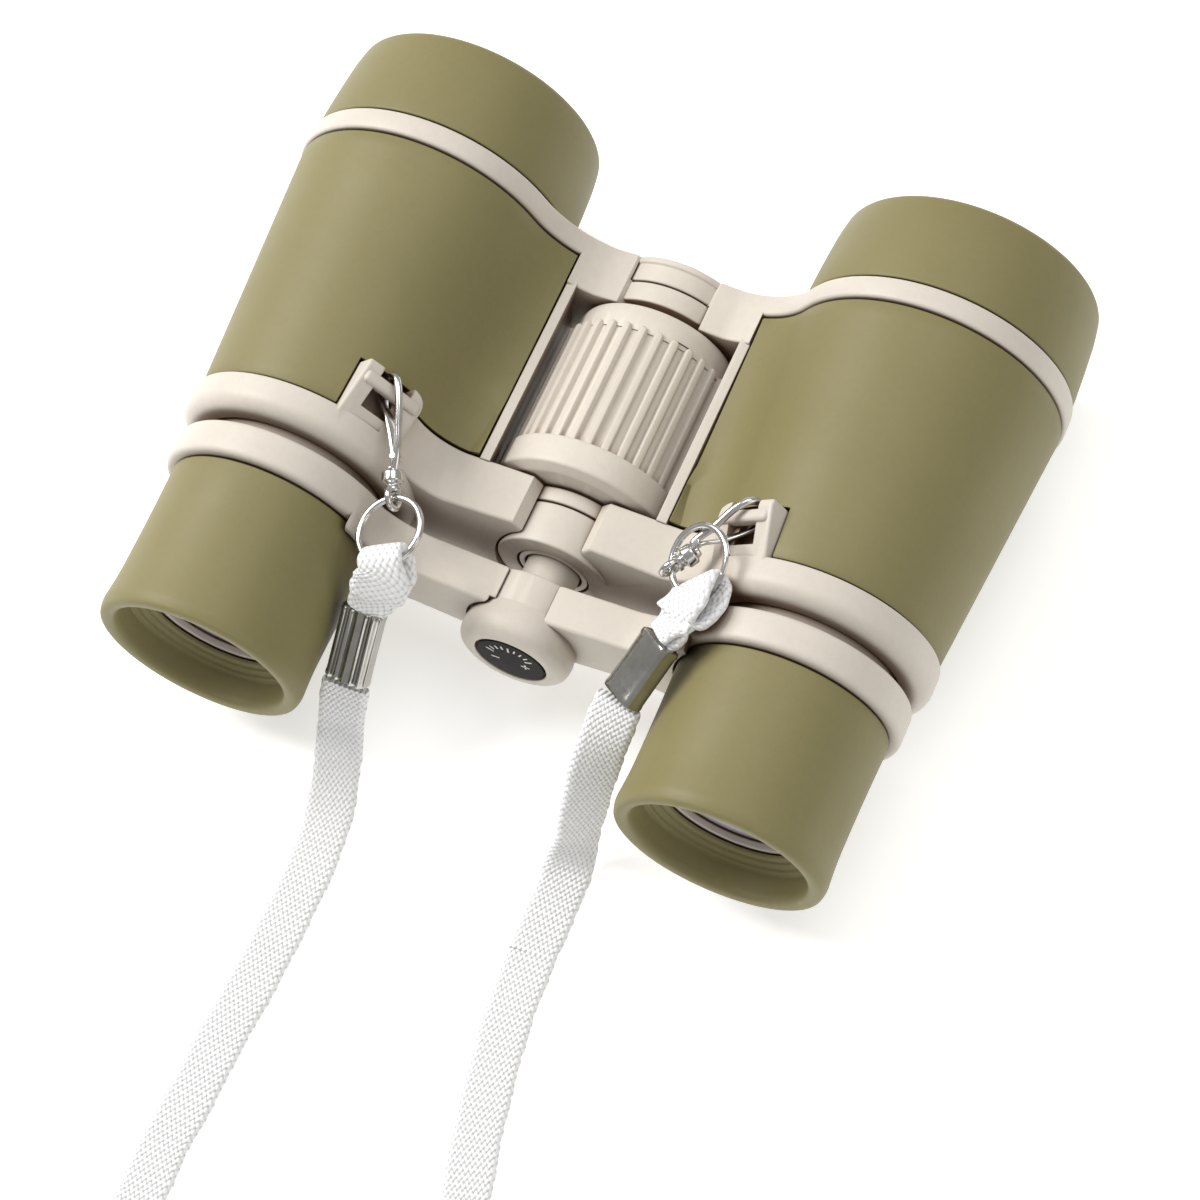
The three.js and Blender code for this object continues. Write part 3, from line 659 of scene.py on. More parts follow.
def flat_section(width, thick, side_points=5, face_points=15, wave=0.0):
    """Flat strap section with slightly crowned faces. wave widens its two round edges."""
    edge = thick / 2
    flat = width / 2 - edge
    out = []
    for sign in (1, -1):
        for x in np.linspace(-sign * flat, sign * flat, face_points):
            out.append((x, sign * (edge + 0.06 * math.cos(math.pi * x / width))))
        for a in np.linspace(sign * math.pi / 2, sign * math.pi / 2 - math.pi, side_points + 2)[1:-1]:
            out.append((sign * flat + (edge + wave) * math.cos(a), edge * math.sin(a)))
    return np.array(out)


def strap(line, widths, taper=None):
    """Braided strap: its two edges carry small loops, one for each strand that turns back."""
    sections = []
    for i, s in enumerate(distances(line)):
        scallop = 0.14 * abs(math.sin(math.pi * s / 1.95))
        swell = 1 + 0.02 * math.sin(s * 0.7) + 0.012 * math.sin(s * 2.1 + 1.0)
        width = STRAP_WIDTH * swell * (taper[i] if taper is not None else 1)
        sections.append(flat_section(width, STRAP_THICK, wave=scallop))
    return sweep(line, sections, widths)


def turn_widths(line, controls):
    """Across directions along a line, from (share of its length, direction) pairs."""
    run = distances(line)
    run /= run[-1]
    marks = [mark for mark, _ in controls]
    ends_level = controls[-1][1] == "level"
    out = []
    for s, ahead in zip(run, tangents(line)):
        level = np.array([-ahead[1], ahead[0], 0])
        level /= max(np.linalg.norm(level), 1e-6)
        vectors = np.array([level if way == "level" else np.array(way, float) for _, way in controls])
        if ends_level and vectors[-1].dot(vectors[0]) < 0:
            vectors = np.array([-v if way == "level" else v for (_, way), v in zip(controls, vectors)])
        w = np.array([np.interp(s, marks, vectors[:, k]) for k in range(3)])
        w -= ahead * w.dot(ahead)
        out.append(w / np.linalg.norm(w))
    return out


# ---------------------------------------------------------------- strap clips: where they are

def lug_point(side, across, y, radius):
    u = ARM - radius * math.cos(LUG_ANGLE) - across * math.sin(LUG_ANGLE)
    v = radius * math.sin(LUG_ANGLE) - across * math.cos(LUG_ANGLE)
    return Matrix.Rotation(-side * TILT, 3, "Y") @ Vector((side * u, y, v))


CLIPS = {
    "left": dict(
        side=-1, across=5.4, back=10.6, lift=19.4, ring=(0.32, -0.95, -0.05),
        facing=(-0.35, -0.16, 0.92), turn=0.0, crimp=((-18.7, -20.4, 8), (-18.9, -28, 0.5)),
    ),
    "right": dict(
        side=1, across=5.5, back=7.0, lift=20.0, ring=(0.76, 0.21, 0.61),
        facing=(-0.52, -0.37, 0.77), turn=math.radians(-80), crimp=((21.5, -14, 17), (18.7, -21.4, 12)),
    ),
}


def layout(clip):
    side = clip["side"]
    bead = lug_point(side, clip["across"], BAR_Y - clip["back"], clip["lift"])
    outward = (bead - lug_point(side, 0, BAR_Y, BAR_HEIGHT)).normalized()
    towards = Vector(clip["ring"]).normalized()
    sideways = Vector(clip["facing"]).cross(towards).normalized()
    eye = bead + outward * 2.4
    centre = eye + towards * RING_RADIUS
    angle = clip["turn"]
    spoke = towards * math.cos(angle) + sideways * math.sin(angle)
    along = -towards * math.sin(angle) + sideways * math.cos(angle)
    return dict(
        clip, bead=bead, outward=outward, towards=towards, sideways=sideways, eye=eye, centre=centre,
        along=along, seat=centre + spoke * RING_RADIUS,
        start=Vector(clip["crimp"][0]), end=Vector(clip["crimp"][1]),
    )


LEFT = layout(CLIPS["left"])
RIGHT = layout(CLIPS["right"])

# ---------------------------------------------------------------- neck strap

LEFT_ROUTE = [
    (-18.95, -28.4, 0), (-19.2, -30, -3.2), (-19.2, -32.2, -7.8), (-18.6, -35.8, -11.8),
    (-17.4, -41, FLAT), (-16.5, -46.5, FLAT), (-16.2, -52, FLAT), (-16.2, -60, FLAT),
    (-16.4, -68, FLAT), (-16.9, -76, FLAT), (-17, -84, FLAT), (-17.4, -92, FLAT),
    (-17.2, -100, FLAT), (-18.6, -106, FLAT), (-22, -112.5, FLAT), (-27, -118, FLAT),
]
RIGHT_ROUTE = [
    (18.6, -21.8, 11.6), (17.7, -26, 6.3), (17, -29.2, 0.6), (16.5, -31.8, -5.6),
    (16.2, -35.2, -11.4), (16.2, -40, FLAT), (16.3, -44, FLAT), (16.4, -50, FLAT),
]
RETURN_ROUTE = [
    (16.4, -50, FLAT), (16.65, -54, FLAT), (17, -59, FLAT),
    (18.4, -68, FLAT), (20, -76, FLAT), (22, -84, FLAT), (23.4, -92, FLAT),
    (24, -100, FLAT), (24.6, -107, FLAT), (25.8, -113, FLAT), (27.4, -118, FLAT),
]


def coil_points(first, turns, low, high, direction):
    """Turns of the stored strap, slightly out of round, climbing from low to high."""
    out = []
    steps = int(COIL_STEPS * turns)
    for k in range(1, steps + 1):
        t = k / steps
        angle = first + direction * 2 * math.pi * turns * t
        radius = COIL_RADIUS + COIL_WOBBLE * math.sin(angle * 2 + 1)
        x = COIL_CENTRE[0] + radius * math.cos(angle)
        y = COIL_CENTRE[1] + radius * math.sin(angle)
        out.append((x, y, low + (high - low) * t))
    return out


def coil_angle(point):
    return math.atan2(point[1] - COIL_CENTRE[1], point[0] - COIL_CENTRE[0])


left_coil = coil_points(coil_angle(LEFT_ROUTE[-1]) + COIL_ENTRY, 1.25, FLAT, FLAT + 1.3, 1)
left_line = smooth_path(LEFT_ROUTE + left_coil, STRAP_STEP)
left_widths = turn_widths(left_line, [(0, tuple(LEFT["along"])), (0.045, "level"), (1, "level")])
left_strap = strap(left_line, left_widths)
finish(left_strap, "strap_left", None, BRAID, ["strap_left_run", "strap_coil"], angle=60)

return_coil = coil_points(coil_angle(RETURN_ROUTE[-1]) - COIL_ENTRY, 1.0, FLAT + 1.6, FLAT + 3.0, -1)
return_line = smooth_path(RETURN_ROUTE + return_coil, STRAP_STEP)
return_widths = turn_widths(return_line, [(0, "level"), (1, "level")])
return_strap = strap(return_line, return_widths)
finish(return_strap, "strap_return", None, BRAID, ["strap_right_run"], angle=60)

end_line = smooth_path(RIGHT_ROUTE, 0.5)
end_widths = turn_widths(end_line, [
    (0, tuple(RIGHT["along"])), (0.56, (0.42, 0.1, -0.9)), (0.74, (0.95, 0, -0.15)), (1, "level"),
])
end_strap = strap(end_line, end_widths)
finish(end_strap, "strap_right", None, BRAID, ["strap_right_end"], angle=60)

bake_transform(left_strap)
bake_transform(return_strap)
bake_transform(end_strap)


# ---------------------------------------------------------------- clip pieces

def axes_matrix(x_axis, z_axis, origin):
    z = (z_axis - x_axis * z_axis.dot(x_axis)).normalized()
    y = z.cross(x_axis)
    return Matrix.Translation(origin) @ Matrix((x_axis, y, z)).transposed().to_4x4()


def ring_points(radius, count, turns=1.0, pitch=0.0):
    out = []
    for k in range(count):
        angle = 2 * math.pi * turns * k / count
        out.append((radius * math.cos(angle), radius * math.sin(angle), pitch * (k / count - 0.5)))
    return out


def hook_piece(p):
    """Spring hook: stamped arch and thin gate, swivel barrel with collars, and a turning eye."""
    side, across, back, lift = p["side"], p["across"], p["back"], p["lift"]
    strands = [
        (-0.75 * back, lift + 0.9), (-0.4 * back, 20.5), (0, 20.35), (1.6, 19.6), (2.1, BAR_HEIGHT),
        (1.5, 16.8), (0, 16.35), (-1.6, 16.9), (-3.4, 18.2), (-0.75 * back, lift + 0.1),
    ]
    points = [lug_point(side, -across * a / back, BAR_Y + a, r) for a, r in strands]
    body = wire([tuple(p["bead"])] + [tuple(q) for q in points[:6]], 0.52)
    gate_line = smooth_path([tuple(q) for q in points[5:]] + [tuple(p["bead"])], 0.3)
    broad = np.array(lug_point(side, 1, 0, 0) - lug_point(side, 0, 0, 0))
    share = np.linspace(0, 1, len(gate_line))
    halves = np.interp(share, [0, 0.15, 0.5, 1], [0.5, 0.85, 0.75, 0.35])
    gate_sections = [flat_section(2 * half, 0.5, 3, 5) for half in halves]
    gate = sweep(gate_line, gate_sections, [broad] * len(gate_line))
    local = axes_matrix(p["outward"], p["sideways"], p["bead"])
    profile = round_path([
        (0, -1.9), (0.8, -1.9), (0.95, -1.3), (1.45, -1.1), (1.5, 0.3), (1.0, 0.5), (0.85, 0.9),
        (1.2, 1.1), (1.15, 1.7), (0, 1.8),
    ], 0.25)
    barrel = revolve(profile, 0, 40)
    barrel.data.transform(local @ Matrix.Rotation(math.radians(-90), 4, "Z"))
    eye = wire(ring_points(1.4, 40), 0.45, closed=True)
    eye.data.transform(axes_matrix(p["outward"], p["sideways"], p["eye"]))
    rivet = revolve(round_path([(0, -0.9), (0.55, -0.9), (0.55, 0.9), (0, 0.9)], 0.2), 0, 24)
    at_rivet = Vector(points[0]).lerp(Vector(points[-1]), 0.5)
    rivet.data.transform(axes_matrix(p["outward"], p["sideways"], at_rivet))
    return merge(body, gate, barrel, eye, rivet)


def split_ring_piece(p):
    """Split ring: a flattened wire wound nearly twice round."""
    count = 150
    line = np.array(ring_points(RING_RADIUS, count, 1.92, 0.62))
    widths = [np.cross(ahead, (0, 0, 1.0)) for ahead in tangents(line)]
    obj = sweep(line, [oval(0.42, 0.27, 12)] * count, widths)
    normal = p["towards"].cross(p["sideways"])
    obj.data.transform(axes_matrix(p["towards"], normal, p["centre"]))
    return obj


def strap_loop_piece(p):
    """The strap's end folded round the ring, drawn together where it enters the crimp."""
    down = p["start"] - p["seat"]
    down -= p["along"] * down.dot(p["along"])
    length = down.length - 0.3
    down.normalize()
    lift = p["along"].cross(down)
    outline = [
        (length, 0.78), (length - 1.5, 0.9), (0.6 * length, 1.25), (0.3 * length, 1.5), (0.4, 1.55),
        (-1.1, 1.2), (-1.75, 0), (-1.1, -1.2), (0.4, -1.55), (0.3 * length, -1.5),
        (0.6 * length, -1.25), (length - 1.5, -0.9), (length, -0.78),
    ]
    drift = p["along"] * (p["start"] - p["seat"]).dot(p["along"])
    shares = [max(0.0, (x + 0.5) / (length + 0.5)) ** 1.8 for x, z in outline]
    points = [p["seat"] + down * x + lift * z + drift * t for (x, z), t in zip(outline, shares)]
    line = smooth_path([tuple(q) for q in points], 0.3)
    widths = [np.array(p["along"])] * len(line)
    reach = (line - np.array(p["seat"])) @ np.array(down) / length
    taper = np.interp(reach, [-0.3, 0, 0.3, 0.6, 1], [0.94, 1.0, 1.2, 1.12, 0.74])
    return strap(line, widths, taper)


def crimp_piece(p, ribbed):
    """Pressed metal sleeve with rolled ends. The left one is ribbed along its faces."""
    direction = p["end"] - p["start"]
    length = direction.length
    count = 180
    squareness = 0.42
    rings = []
    for y, grow in [(0, -0.22), (0.15, 0), (0.6, 0.06), (1.1, -0.02), (length - 1.1, -0.02),
                    (length - 0.6, 0.06), (length - 0.15, 0), (length, -0.22)]:
        section = []
        half, thick = STRAP_WIDTH / 2 - 0.25 + grow, STRAP_THICK + 0.2 + grow
        for k in range(count):
            angle = 2 * math.pi * k / count
            c, s = math.cos(angle), math.sin(angle)
            x = half * math.copysign(abs(c) ** squareness, c)
            z = thick * math.copysign(abs(s) ** squareness, s)
            if ribbed and abs(s) > 0.4:
                z += math.copysign(0.27, s) * math.cos(x * 2 * math.pi / 1.1)
            section.append((y, x, z))
        rings.append(section)
    obj = loft(rings)
    along = direction.normalized()
    obj.data.transform(axes_matrix(along, p["along"].cross(along), p["start"]))
    return obj


def finish_side(label, matrix, pieces):
    """Finishes one side's (object, piece, body, material, slot, CAD node, crease angle) rows."""
    for obj, piece, body, material, slot, cad_node, angle in pieces:
        finish(obj, f"{label}_{piece}", body, material, [f"{label}_{cad_node}"], matrix, angle)


for label, clip, ribbed in (("left", LEFT, True), ("right", RIGHT, False)):
    body = f"{label}_clip"
    finish_side(label, HINGE, (
        (hook_piece(clip), "hook", body, STEEL, "clip_steel", "strap_hook", 50),
        (split_ring_piece(clip), "ring", body, STEEL, "clip_steel", "split_ring", 60),
        (strap_loop_piece(clip), "loop", body, BRAID, "strap_fabric", "strap_loop", 60),
        (crimp_piece(clip, ribbed), "sleeve", body, CRIMP_STEEL, "clip_steel", "crimp", 45),
    ))


# ---------------------------------------------------------------- housing section

def housing_outline(radius, web, fillet, start, start_height, lower, side, chamfer=0.0):
    """Barrel and web in the arm frame. The web's upper edge falls towards a fillet."""

    def edge(height, first, sign, corner):
        reach = ARM - math.sqrt((radius + fillet) ** 2 - (height + fillet) ** 2)
        angle = math.atan2(height + fillet, reach - ARM)
        end = ARM + radius * math.cos(angle)
        points = []
        lead = max(start, reach - 1e-6)
        if reach > start:
            for u in np.linspace(start, reach, 8)[:-1]:
                fall = (u - start) / max(reach - start, 1e-6)
                points.append((u, sign * (first + (height - first) * fall)))
        for u in np.linspace(lead, end, 18 if reach > start else 25)[:-1]:
            rise = fillet - math.sqrt(max(fillet ** 2 - (u - reach) ** 2, 0))
            points.append((u, sign * (height + rise)))
        if corner > 0:
            end_u, end_z = points[0]
            cut_u = end_u + 0.9 * corner
            cut_z = float(np.interp(cut_u, [u for u, z in points], [z for u, z in points]))
            rest = [point for point in points if point[0] > cut_u + 0.2]
            points = [(end_u, end_z - sign * corner), (cut_u, cut_z)] + rest
        return [(side * u, z) for u, z in points], angle

    upper, top_angle = edge(web, start_height, 1, chamfer)
    under, low_angle = edge(lower, lower, -1, 0.0)
    arc = []
    for angle in np.linspace(top_angle, -low_angle, 90):
        arc.append((side * (ARM + radius * math.cos(angle)), radius * math.sin(angle)))
    return upper + arc + under[::-1]


def station_outline(y, depth, start, side):
    along = y / BAND_REAR
    return housing_outline(
        16.6 + 3.1 * along - depth, 6.2 + 0.4 * along - depth, 8 + 6 * along + depth,
        start, 7 - depth, LOWER_EDGE - depth, side)


def at(outline, y):
    return [(x, y, z) for x, z in outline]


def to_lug(side, obj):
    """Moves an object from upright over its barrel to the lug's place round it."""
    turn = Matrix.Rotation(-side * (math.pi / 2 - LUG_ANGLE), 4, "Y")
    obj.data.transform(Matrix.Translation((side * ARM, 0, 0)) @ turn)
    return obj


def lug_block(side, width, y0, y1, r0, r1):
    return to_lug(side, block(-width / 2, width / 2, y0, y1, r0, r1))


def soften(obj, width, segments=3):
    """Rounds an object's sharp edges."""
    modifier = obj.modifiers.new("edges", "BEVEL")
    modifier.width = width
    modifier.segments = segments
    modifier.limit_method = "ANGLE"
    modifier.angle_limit = math.radians(40)
    modifier.use_clamp_overlap = True
    return bake(obj)


def lug_solid(side):
    """Strap lug: a plate that rises forwards from the flange, with a slot behind its cross bar."""
    inner = -side * LUG_WIDTH / 2
    plan = [(-inner, -1), (-inner, LUG_FRONT)]
    for angle in np.linspace(0, math.pi / 2, 9):
        across, back = LUG_CORNER * (1 - math.sin(angle)), LUG_CORNER * (1 - math.cos(angle))
        plan.append((inner - math.copysign(across, inner), LUG_FRONT - back))
    plan.append((inner, -1))
    lug = loft([[(x, y, z) for x, y in plan] for z in (14, LUG_TOP)])
    ramp = block(-LUG_WIDTH, LUG_WIDTH, -12, 0, 0, 6)
    slope = Matrix.Rotation(LUG_SLOPE, 4, "X")
    ramp.data.transform(Matrix.Translation((0, BAR_Y + 1.2, LUG_TOP)) @ slope)
    to_lug(side, soften(cut(lug, ramp), 0.4))
    return cut(lug, lug_block(side, LUG_SLOT, 1.4, 9, 15.2, 22))


def frame_solid(side):
    """One side's moulding: core, front band and plate, rail, rear plate, flange, lug and knuckles."""
    core = loft([
        at(station_outline(-0.2, CORE_INSET, WINDOW_SIDE, side), -0.2),
        at(station_outline(BAND_REAR + 0.2, CORE_INSET, WINDOW_SIDE, side), BAND_REAR + 0.2),
    ])
    front = housing_outline(BAND_RADIUS, 6.7, 14, PLATE_END, 7.9, LOWER_EDGE, side, 2.2)
    rear = housing_outline(FLANGE_RADIUS, REAR_WEB, 8, PLATE_END, 8.3, LOWER_EDGE, side, 1.6)
    rail = housing_outline(17.5, 6.6, 10, WINDOW_SIDE, 7.1, LOWER_EDGE, side)
    band = prism(front, BAND_REAR, BAND_FRONT, 0.45)
    front_plate = common(
        prism(front, WINDOW_FRONT, BAND_REAR + 0.8, 0.3),
        block(0, side * RAIL_OUTER, WINDOW_FRONT - 1, BAND_REAR + 1, -FAR, FAR))
    rail_wall = common(
        prism(rail, WINDOW_REAR - 0.2, WINDOW_FRONT + 0.4, 0.02),
        block(0, side * RAIL_OUTER, 0, 2 * FAR, -FAR, FAR))
    rear_plate = common(
        prism(rear, REAR_PLATE_REAR, WINDOW_REAR, 0.4),
        block(0, side * STEP_SIDE, -10, 10, -FAR, FAR))
    for vertex in rear_plate.data.vertices:
        if vertex.co.y < -1:
            vertex.co.y -= REAR_DRAFT * (REAR_WEB - vertex.co.z)
    x = side * ARM
    flange = revolve(round_path([
        (13.5, FLANGE_REAR), (15.6, FLANGE_REAR), (FLANGE_RADIUS, -3.6), (FLANGE_RADIUS, 0), (13.5, 0),
    ], [0, 0.9, 1.2, 0.3, 0], True), x, FINE_TURN)
    bar = lug_block(side, LUG_WIDTH - 1, BAR_Y - 0.9, BAR_Y + 0.9, BAR_HEIGHT - 0.9, BAR_HEIGHT + 0.9)
    soften(bar, 0.55, 4)
    if side < 0:
        knuckles = [cylinder(REAR_RING, HINGE_SPLIT_REAR + 0.1, WINDOW_REAR, edge=0.35),
                    cylinder(FRONT_RING, WINDOW_FRONT + 1, HINGE_SPLIT_FRONT - 0.1, edge=0.35)]
        clearances = [cylinder(REAR_RING + KNUCKLE_GAP, -4, HINGE_SPLIT_REAR),
                      cylinder(FRONT_RING + KNUCKLE_GAP, HINGE_SPLIT_FRONT, 44)]
    else:
        lip = revolve(round_path([
            (4.8, 38.6), (FRONT_RING, 38.6), (FRONT_RING, 41.3), (FRONT_RING + 0.32, 41.5),
            (FRONT_RING + 0.32, BAND_FRONT), (4.8, BAND_FRONT),
        ], [0, 0.3, 0.15, 0.15, 0.35, 0], True))
        knuckles = [cylinder(REAR_RING, -3.1, 3.0, edge=0.4), lip]
        clearances = [cylinder(REAR_RING + KNUCKLE_GAP, HINGE_SPLIT_REAR, 5.6),
                      cylinder(FRONT_RING + KNUCKLE_GAP, 34, HINGE_SPLIT_FRONT)]
    bore = revolve([(0, -8), (13.3, -8), (13.3, 12), (14.2, 14), (16.4, 34), (16.4, 45), (0, 45)], x)
    plates = cut(join(core, band, front_plate, rail_wall, rear_plate, flange), *clearances)
    whole = join(plates, lug_solid(side), bar, *knuckles)
    return cut(
        whole, bore, cylinder(WHEEL_RADIUS + 0.5, WINDOW_REAR, WINDOW_FRONT),
        cylinder(REAR_RING - 2.9, -8, WINDOW_REAR + 0.1), cylinder(2.7, WINDOW_FRONT - 1, 44),
        cylinder(5, 40.8, 44))


def cover_solid(side):
    """Olive skin over the barrel, cut clear of the rear plate and the lug."""
    start = RAIL_OUTER + 0.3
    rear, front = 0.3, BAND_REAR - 0.3
    rings = []
    stops = [(rear, 0.3), (rear + 0.1, 0.12), (rear + 0.35, 0.0)]
    stops += [(y, 0.0) for y in np.linspace(rear + 2, front - 2, 12)]
    stops += [(front - 0.35, 0.0), (front - 0.1, 0.12), (front, 0.3)]
    for y, depth in stops:
        ring = station_outline(y, depth, start, side) + station_outline(y, SKIN, start, side)[::-1]
        rings.append(at(ring, y))
    shell = loft(rings)
    step = block(0, side * (STEP_SIDE + 0.3), -1, WINDOW_REAR + 0.3, -20, 30)
    return cut(shell, step, lug_block(side, LUG_WIDTH + 0.6, -1, 7.5, 13, 24))


def eyepiece_arm(side):
    """One arm of the eyepiece bridge, with the band that its eyecup sits in."""
    outline = housing_outline(EYE_BAND_RADIUS, 5.4, 12, 4.6, 6.2, 4.4, side)
    plate = common(prism(outline, EYE_ARM_REAR, HUB_FRONT, 0.5), block(0, side * 26, -FAR, 0, -FAR, FAR))
    ring = revolve(round_path([
        (EYE_SEAT, EYE_BAND_REAR), (EYE_BAND_RADIUS, EYE_BAND_REAR), (EYE_BAND_RADIUS, EYE_BAND_FRONT),
        (EYE_SEAT, EYE_BAND_FRONT),
    ], [0, 0.9, 0.7, 0], True), side * ARM, FINE_TURN)
    cup = cylinder(15.0, -FAR, EYE_BAND_REAR, side * ARM, TURN)
    bore = cylinder(EYE_SEAT, -FAR, 0, side * ARM, TURN)
    return cut(join(plate, ring), cup, bore)


def left_arm():
    """The left arm ends in a ring inside the hub."""
    cap_room, hub_room = cylinder(CAP_RADIUS + 0.2, -15, -12.2), cylinder(HUB_RADIUS + 0.3, -14, -5)
    arm = cut(eyepiece_arm(-1), cap_room, hub_room)
    tongue = block(-9, -4.4, -12, HUB_FRONT, -2.2, 2.2)
    return cut(join(arm, tongue, cylinder(5.6, -12, HUB_FRONT)), cylinder(ROD_RADIUS + 0.3, -14, -5))


def right_arm():
    """The right arm carries the hub: its sleeve, and the cap that holds the badge."""
    arm = cut(eyepiece_arm(1), cylinder(HUB_RADIUS - 0.3, -14, -5))
    sleeve = washer(5.9, HUB_RADIUS, -12.4, HUB_FRONT, edge=0.4)
    cap = revolve(round_path([
        (0, HUB_REAR + 0.8), (BADGE_RADIUS + 0.3, HUB_REAR + 0.8), (BADGE_RADIUS + 0.3, HUB_REAR),
        (6.4, HUB_REAR), (7.7, -16.4), (CAP_RADIUS, -15.2), (CAP_RADIUS, -14.2), (7.7, -12.9),
        (HUB_RADIUS, -11.8), (0, -11.8),
    ], [0, 0.05, 0.2, 0.8, 1.0, 1.0, 1.2, 1.0, 0.1, 0]), 0, SMALL_TURN)
    wedge = [(0.0, 0.0)]
    for angle in np.linspace(math.radians(141), math.radians(298), 24):
        wedge.append((12 * math.cos(angle), 12 * math.sin(angle)))
    notch = loft([at(wedge, -12.3), at(wedge, -6)])
    notch.data.transform(Matrix.Rotation(TILT, 4, "Y"))
    return cut(join(arm, cut(sleeve, notch), cap), cylinder(1.5, -17, -11))


def objective_hood(x):
    """Hood in front of the band, with a rolled lip and small steps inside."""
    return revolve(round_path([
        (16, 37), (16, BAND_FRONT + 0.3), (19.6, BAND_FRONT + 0.3), (19.4, 48), (19.0, 53.8),
        (18.5, 56.8), (17.2, 57.5), (15.9, 57.3), (15.5, 56.2), (14.9, 53.2), (14.9, 52.4), (14.6, 52.2),
        (14.6, 51.4), (14.3, 51.2), (14.2, 48.6), (15.3, 48.6), (15.3, 37),
    ], [0, 0, 0.35, 3, 2.5, 1.4, 0.8, 0.5, 0.6, 0.2, 0.1, 0.1, 0.1, 0.1, 0, 0, 0], True), x, FINE_TURN)


def dished(radii, middle, curve):
    """Points of a shallow curved face, by how far it moves along y from its middle."""
    return [(r, middle + curve * r * r) for r in radii]


def objective_lens(x):
    rear = [(0, 44.6)] + dished((3, 6, 9, 12, 14.8), 44.6, 0.0036)
    rim = [(LENS_RADIUS, 45.6), (LENS_RADIUS, 46.7), (14.8, 46.9)]
    front = dished((12, 10, 8, 6, 4, 2), 48.6, -0.0078) + [(0, 48.6)]
    return revolve(rear + rim + front, x, SMALL_TURN)


def eye_lens(x):
    rear = [(0, -26.2)] + dished((2, 4, 6, 8, 9.6), -26.2, -0.0117)
    rim = [(EYE_LENS_RADIUS, -27.1), (EYE_LENS_RADIUS, -26)]
    front = dished((9.4, 8, 6, 4, 2), -24.7, -0.0117) + [(0, -24.7)]
    return revolve(rear + rim + front, x, SMALL_TURN)


def eyepiece_tube(x):
    """Tube that slides in the barrel, with a step down to the lens and a lip round it."""
    return revolve(round_path([
        (11.6, 8), (12.9, 8), (12.9, -23.4), (11.2, -23.4), (11.2, -28.6), (9.3, -28.6), (9.3, -27.6),
        (10, -27.6), (10, -21.5), (11.6, -20.5),
    ], 0.2, True), x, SMALL_TURN)


def eyecup(x):
    """Eyecup with a waist outside, a rolled rim, and five small steps inside."""
    return revolve(round_path([
        (EYE_SEAT, -11.9), (14.7, -11.9), (14.45, -20), (14.4, -29), (14.7, -33.2), (14.3, -34.5),
        (13.4, -34.7), (12.5, -34.4), (12.2, -33.6), (12.0, -30.8), (11.3, -30.6), (11.2, -30.1),
        (10.5, -29.9), (10.4, -29.5), (9.8, -29.3), (9.7, -28.9), (11.5, -28.9), (11.5, -23.7),
        (EYE_SEAT, -23.7),
    ], [0, 0.25, 4, 4, 2, 0.8, 0.5, 0.4, 0.4, 0.15, 0.15, 0.15, 0.15, 0.15, 0.1, 0, 0, 0, 0], True),
        x, FINE_TURN)


for side, label in ((-1, "left"), (1, "right")):
    x = side * ARM
    body = f"{label}_barrel"
    eye_body = "eyepiece_bridge" if side < 0 else "right_eyepiece"
    arm = left_arm if side < 0 else right_arm
    finish_side(label, arm_matrix(side), (
        (frame_solid(side), "chassis", body, CREAM, "cream_plastic", "frame", 32),
        (cover_solid(side), "shell", body, OLIVE, "olive_plastic", "barrel_cover", 32),
        (objective_hood(x), "hood", body, OLIVE, "olive_plastic", "objective_hood", 32),
        (objective_lens(x), "objective", body, FRONT_GLASS, "lens_glass", "objective_lens", 60),
        (washer(13.6, LENS_RADIUS, 43, 44.7, x, edge=0.2), "retainer", body, BLACK, "black_plastic",
         "lens_ring", 32),
        (arm(), "bridge_arm", eye_body, CREAM, "cream_plastic", "eyepiece_arm", 32),
        (eyepiece_tube(x), "inner_tube", eye_body, CREAM, "cream_plastic", "eyepiece_tube", 32),
        (eye_lens(x), "eye_glass", eye_body, EYE_LENS_PAINTED_LIGHT, "lens_glass", "eye_lens", 60),
        (washer(8.4, EYE_LENS_RADIUS, -24.7, -23.5, x, edge=0.15), "eye_retainer", eye_body, BLACK,
         "black_plastic", "eye_lens_ring", 32),
        (eyecup(x), "cup", eye_body, OLIVE, "olive_plastic", "eyecup", 32),
    ))


# ---------------------------------------------------------------- focus wheel and hub

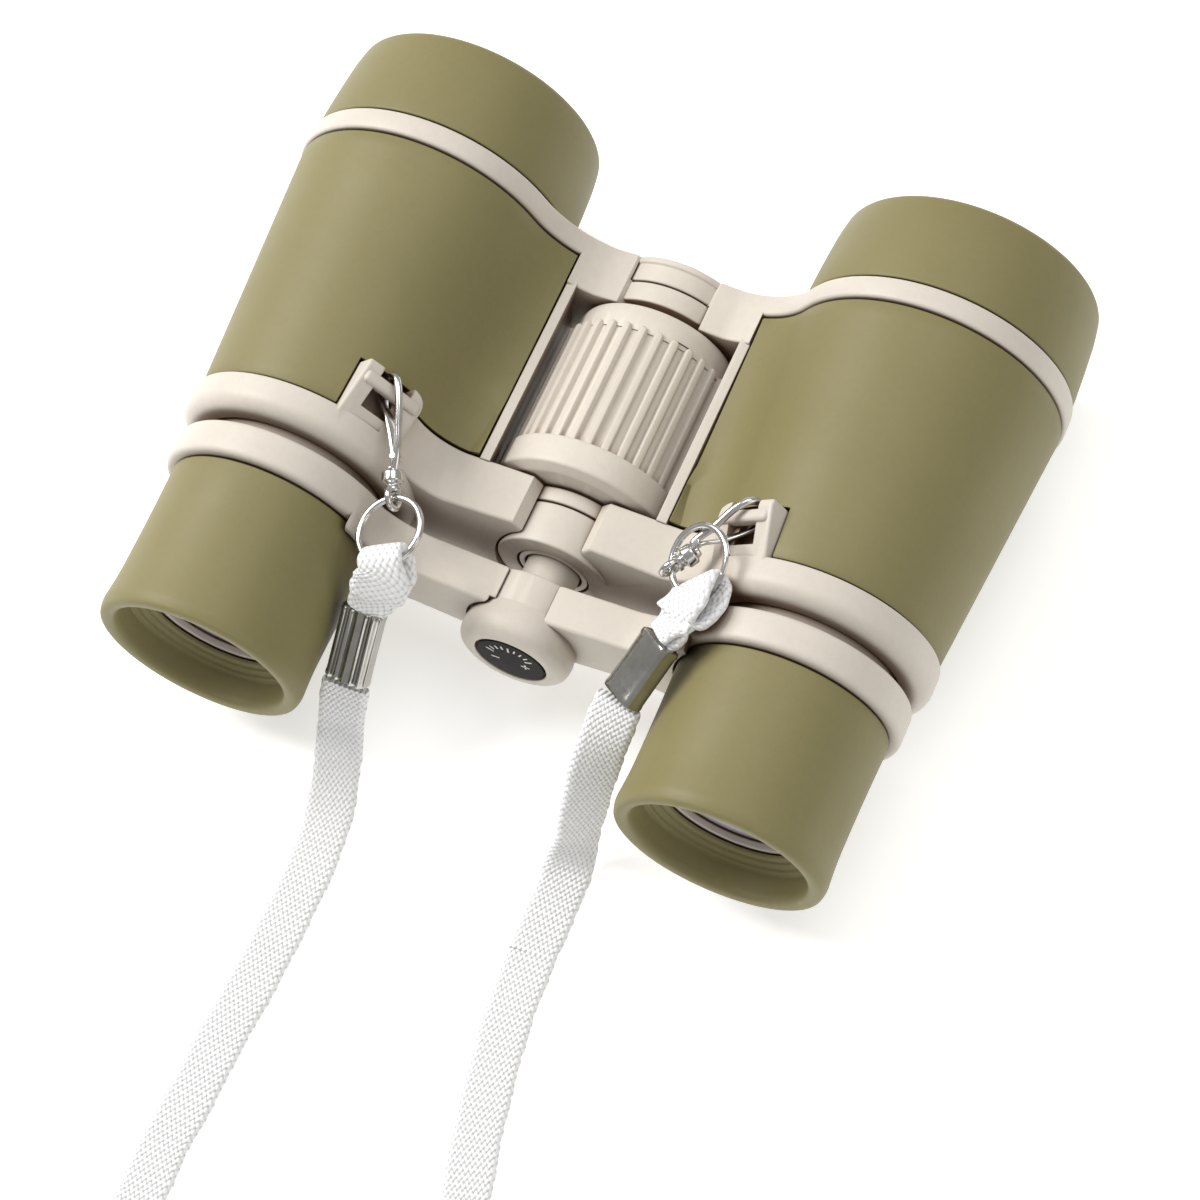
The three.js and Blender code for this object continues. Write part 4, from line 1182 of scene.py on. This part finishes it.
def wheel_solid():
    """Wheel with rounded ribs that taper in at its front end, a flange behind and a plain end."""
    outline = []
    for i in range(RIB_COUNT):
        middle = 2 * math.pi * i / RIB_COUNT
        half = math.pi / RIB_COUNT
        for share, radius in ((-0.66, 11.62), (-0.56, 11.75), (-0.47, 12.2), (-0.36, 12.38), (0, 12.45),
                              (0.36, 12.38), (0.47, 12.2), (0.56, 11.75), (0.66, 11.62), (1.0, 11.58)):
            angle = middle + share * half
            outline.append((radius * math.cos(angle), radius * math.sin(angle)))
    rings = []
    for y, depth in ((10.4, 0.0), (29.4, 0.0), (29.8, 0.12), (30.05, 0.4), (30.2, 0.8)):
        rings.append(at(inset(outline, depth * 0.55) if depth else outline, y))
    grip = loft(rings)
    rear = revolve(round_path([
        (0, 5.8), (11.3, 5.8), (12.85, 6.5), (WHEEL_RADIUS, 6.8), (WHEEL_RADIUS, 10.7), (12.1, 10.9),
        (0, 10.9),
    ], [0, 0.3, 0.3, 0.2, 0.35, 0.1, 0]))
    front = revolve(round_path([
        (0, 29.5), (11.75, 29.5), (11.75, 32.4), (11.0, 33.9), (0, 33.9),
    ], [0, 0, 1.6, 1.2, 0]))
    return cut(join(grip, rear, front), cylinder(ROD_RADIUS + 0.4, 5, 28.5), cylinder(2.7, 28, 35))


finish(wheel_solid(), "focus_knob", "focus_wheel", WHEEL, ["focus_wheel"], angle=28)
rod = revolve(round_path([
    (0, -12), (ROD_RADIUS, -12), (ROD_RADIUS, 25.2), (3.4, 26), (0, 26),
], [0, 0.2, 0.3, 0.3, 0]), 0, 64)
finish(rod, "focus_spindle", "eyepiece_bridge", WHEEL, ["focus_rod"])
pin = join(cylinder(2.4, 29.5, 42, 0, 48, 0.2), cylinder(4.6, 41.1, 42.1, 0, 64, 0.25))
slot_cut = block(-3.2, 3.2, 41.8, 43, -0.45, 0.45)
finish(cut(pin, slot_cut), "hinge_pin", "left_barrel", PIN, ["front_hinge_pin"])
finish(washer(4.15, 5, -3, 5.3, 0, 64, 0.15), "hinge_bush", "left_barrel", ACETAL,
       ["rear_hinge_bush"])
finish(cylinder(BADGE_RADIUS, HUB_REAR, HUB_REAR + 0.5, 0, 96, 0.15), "badge", "right_eyepiece", BADGE,
       ["hub_badge"])


def badge_marks():
    """A focus scale: short ticks on an arc, with a plus and a minus at its ends."""
    rear, front = HUB_REAR - 0.05, HUB_REAR + 0.1
    thin, long, drop = 0.11, 0.62, 0.4
    marks = []
    for i, angle in enumerate(np.linspace(math.radians(28), math.radians(152), 9)):
        inner = 2.55 if i % 4 == 0 else 2.95
        tick = block(-thin, thin, rear, front, inner, 3.75)
        tick.data.transform(Matrix.Rotation(angle - math.pi / 2, 4, "Y"))
        marks.append(tick)
    for x, wide, high in ((-2.2, long, thin), (2.2, long, thin), (2.2, thin, long)):
        marks.append(block(x - wide, x + wide, rear, front, -high - drop, high - drop))
    return merge(*marks)


finish(badge_marks(), "badge_scale", "right_eyepiece", INK)
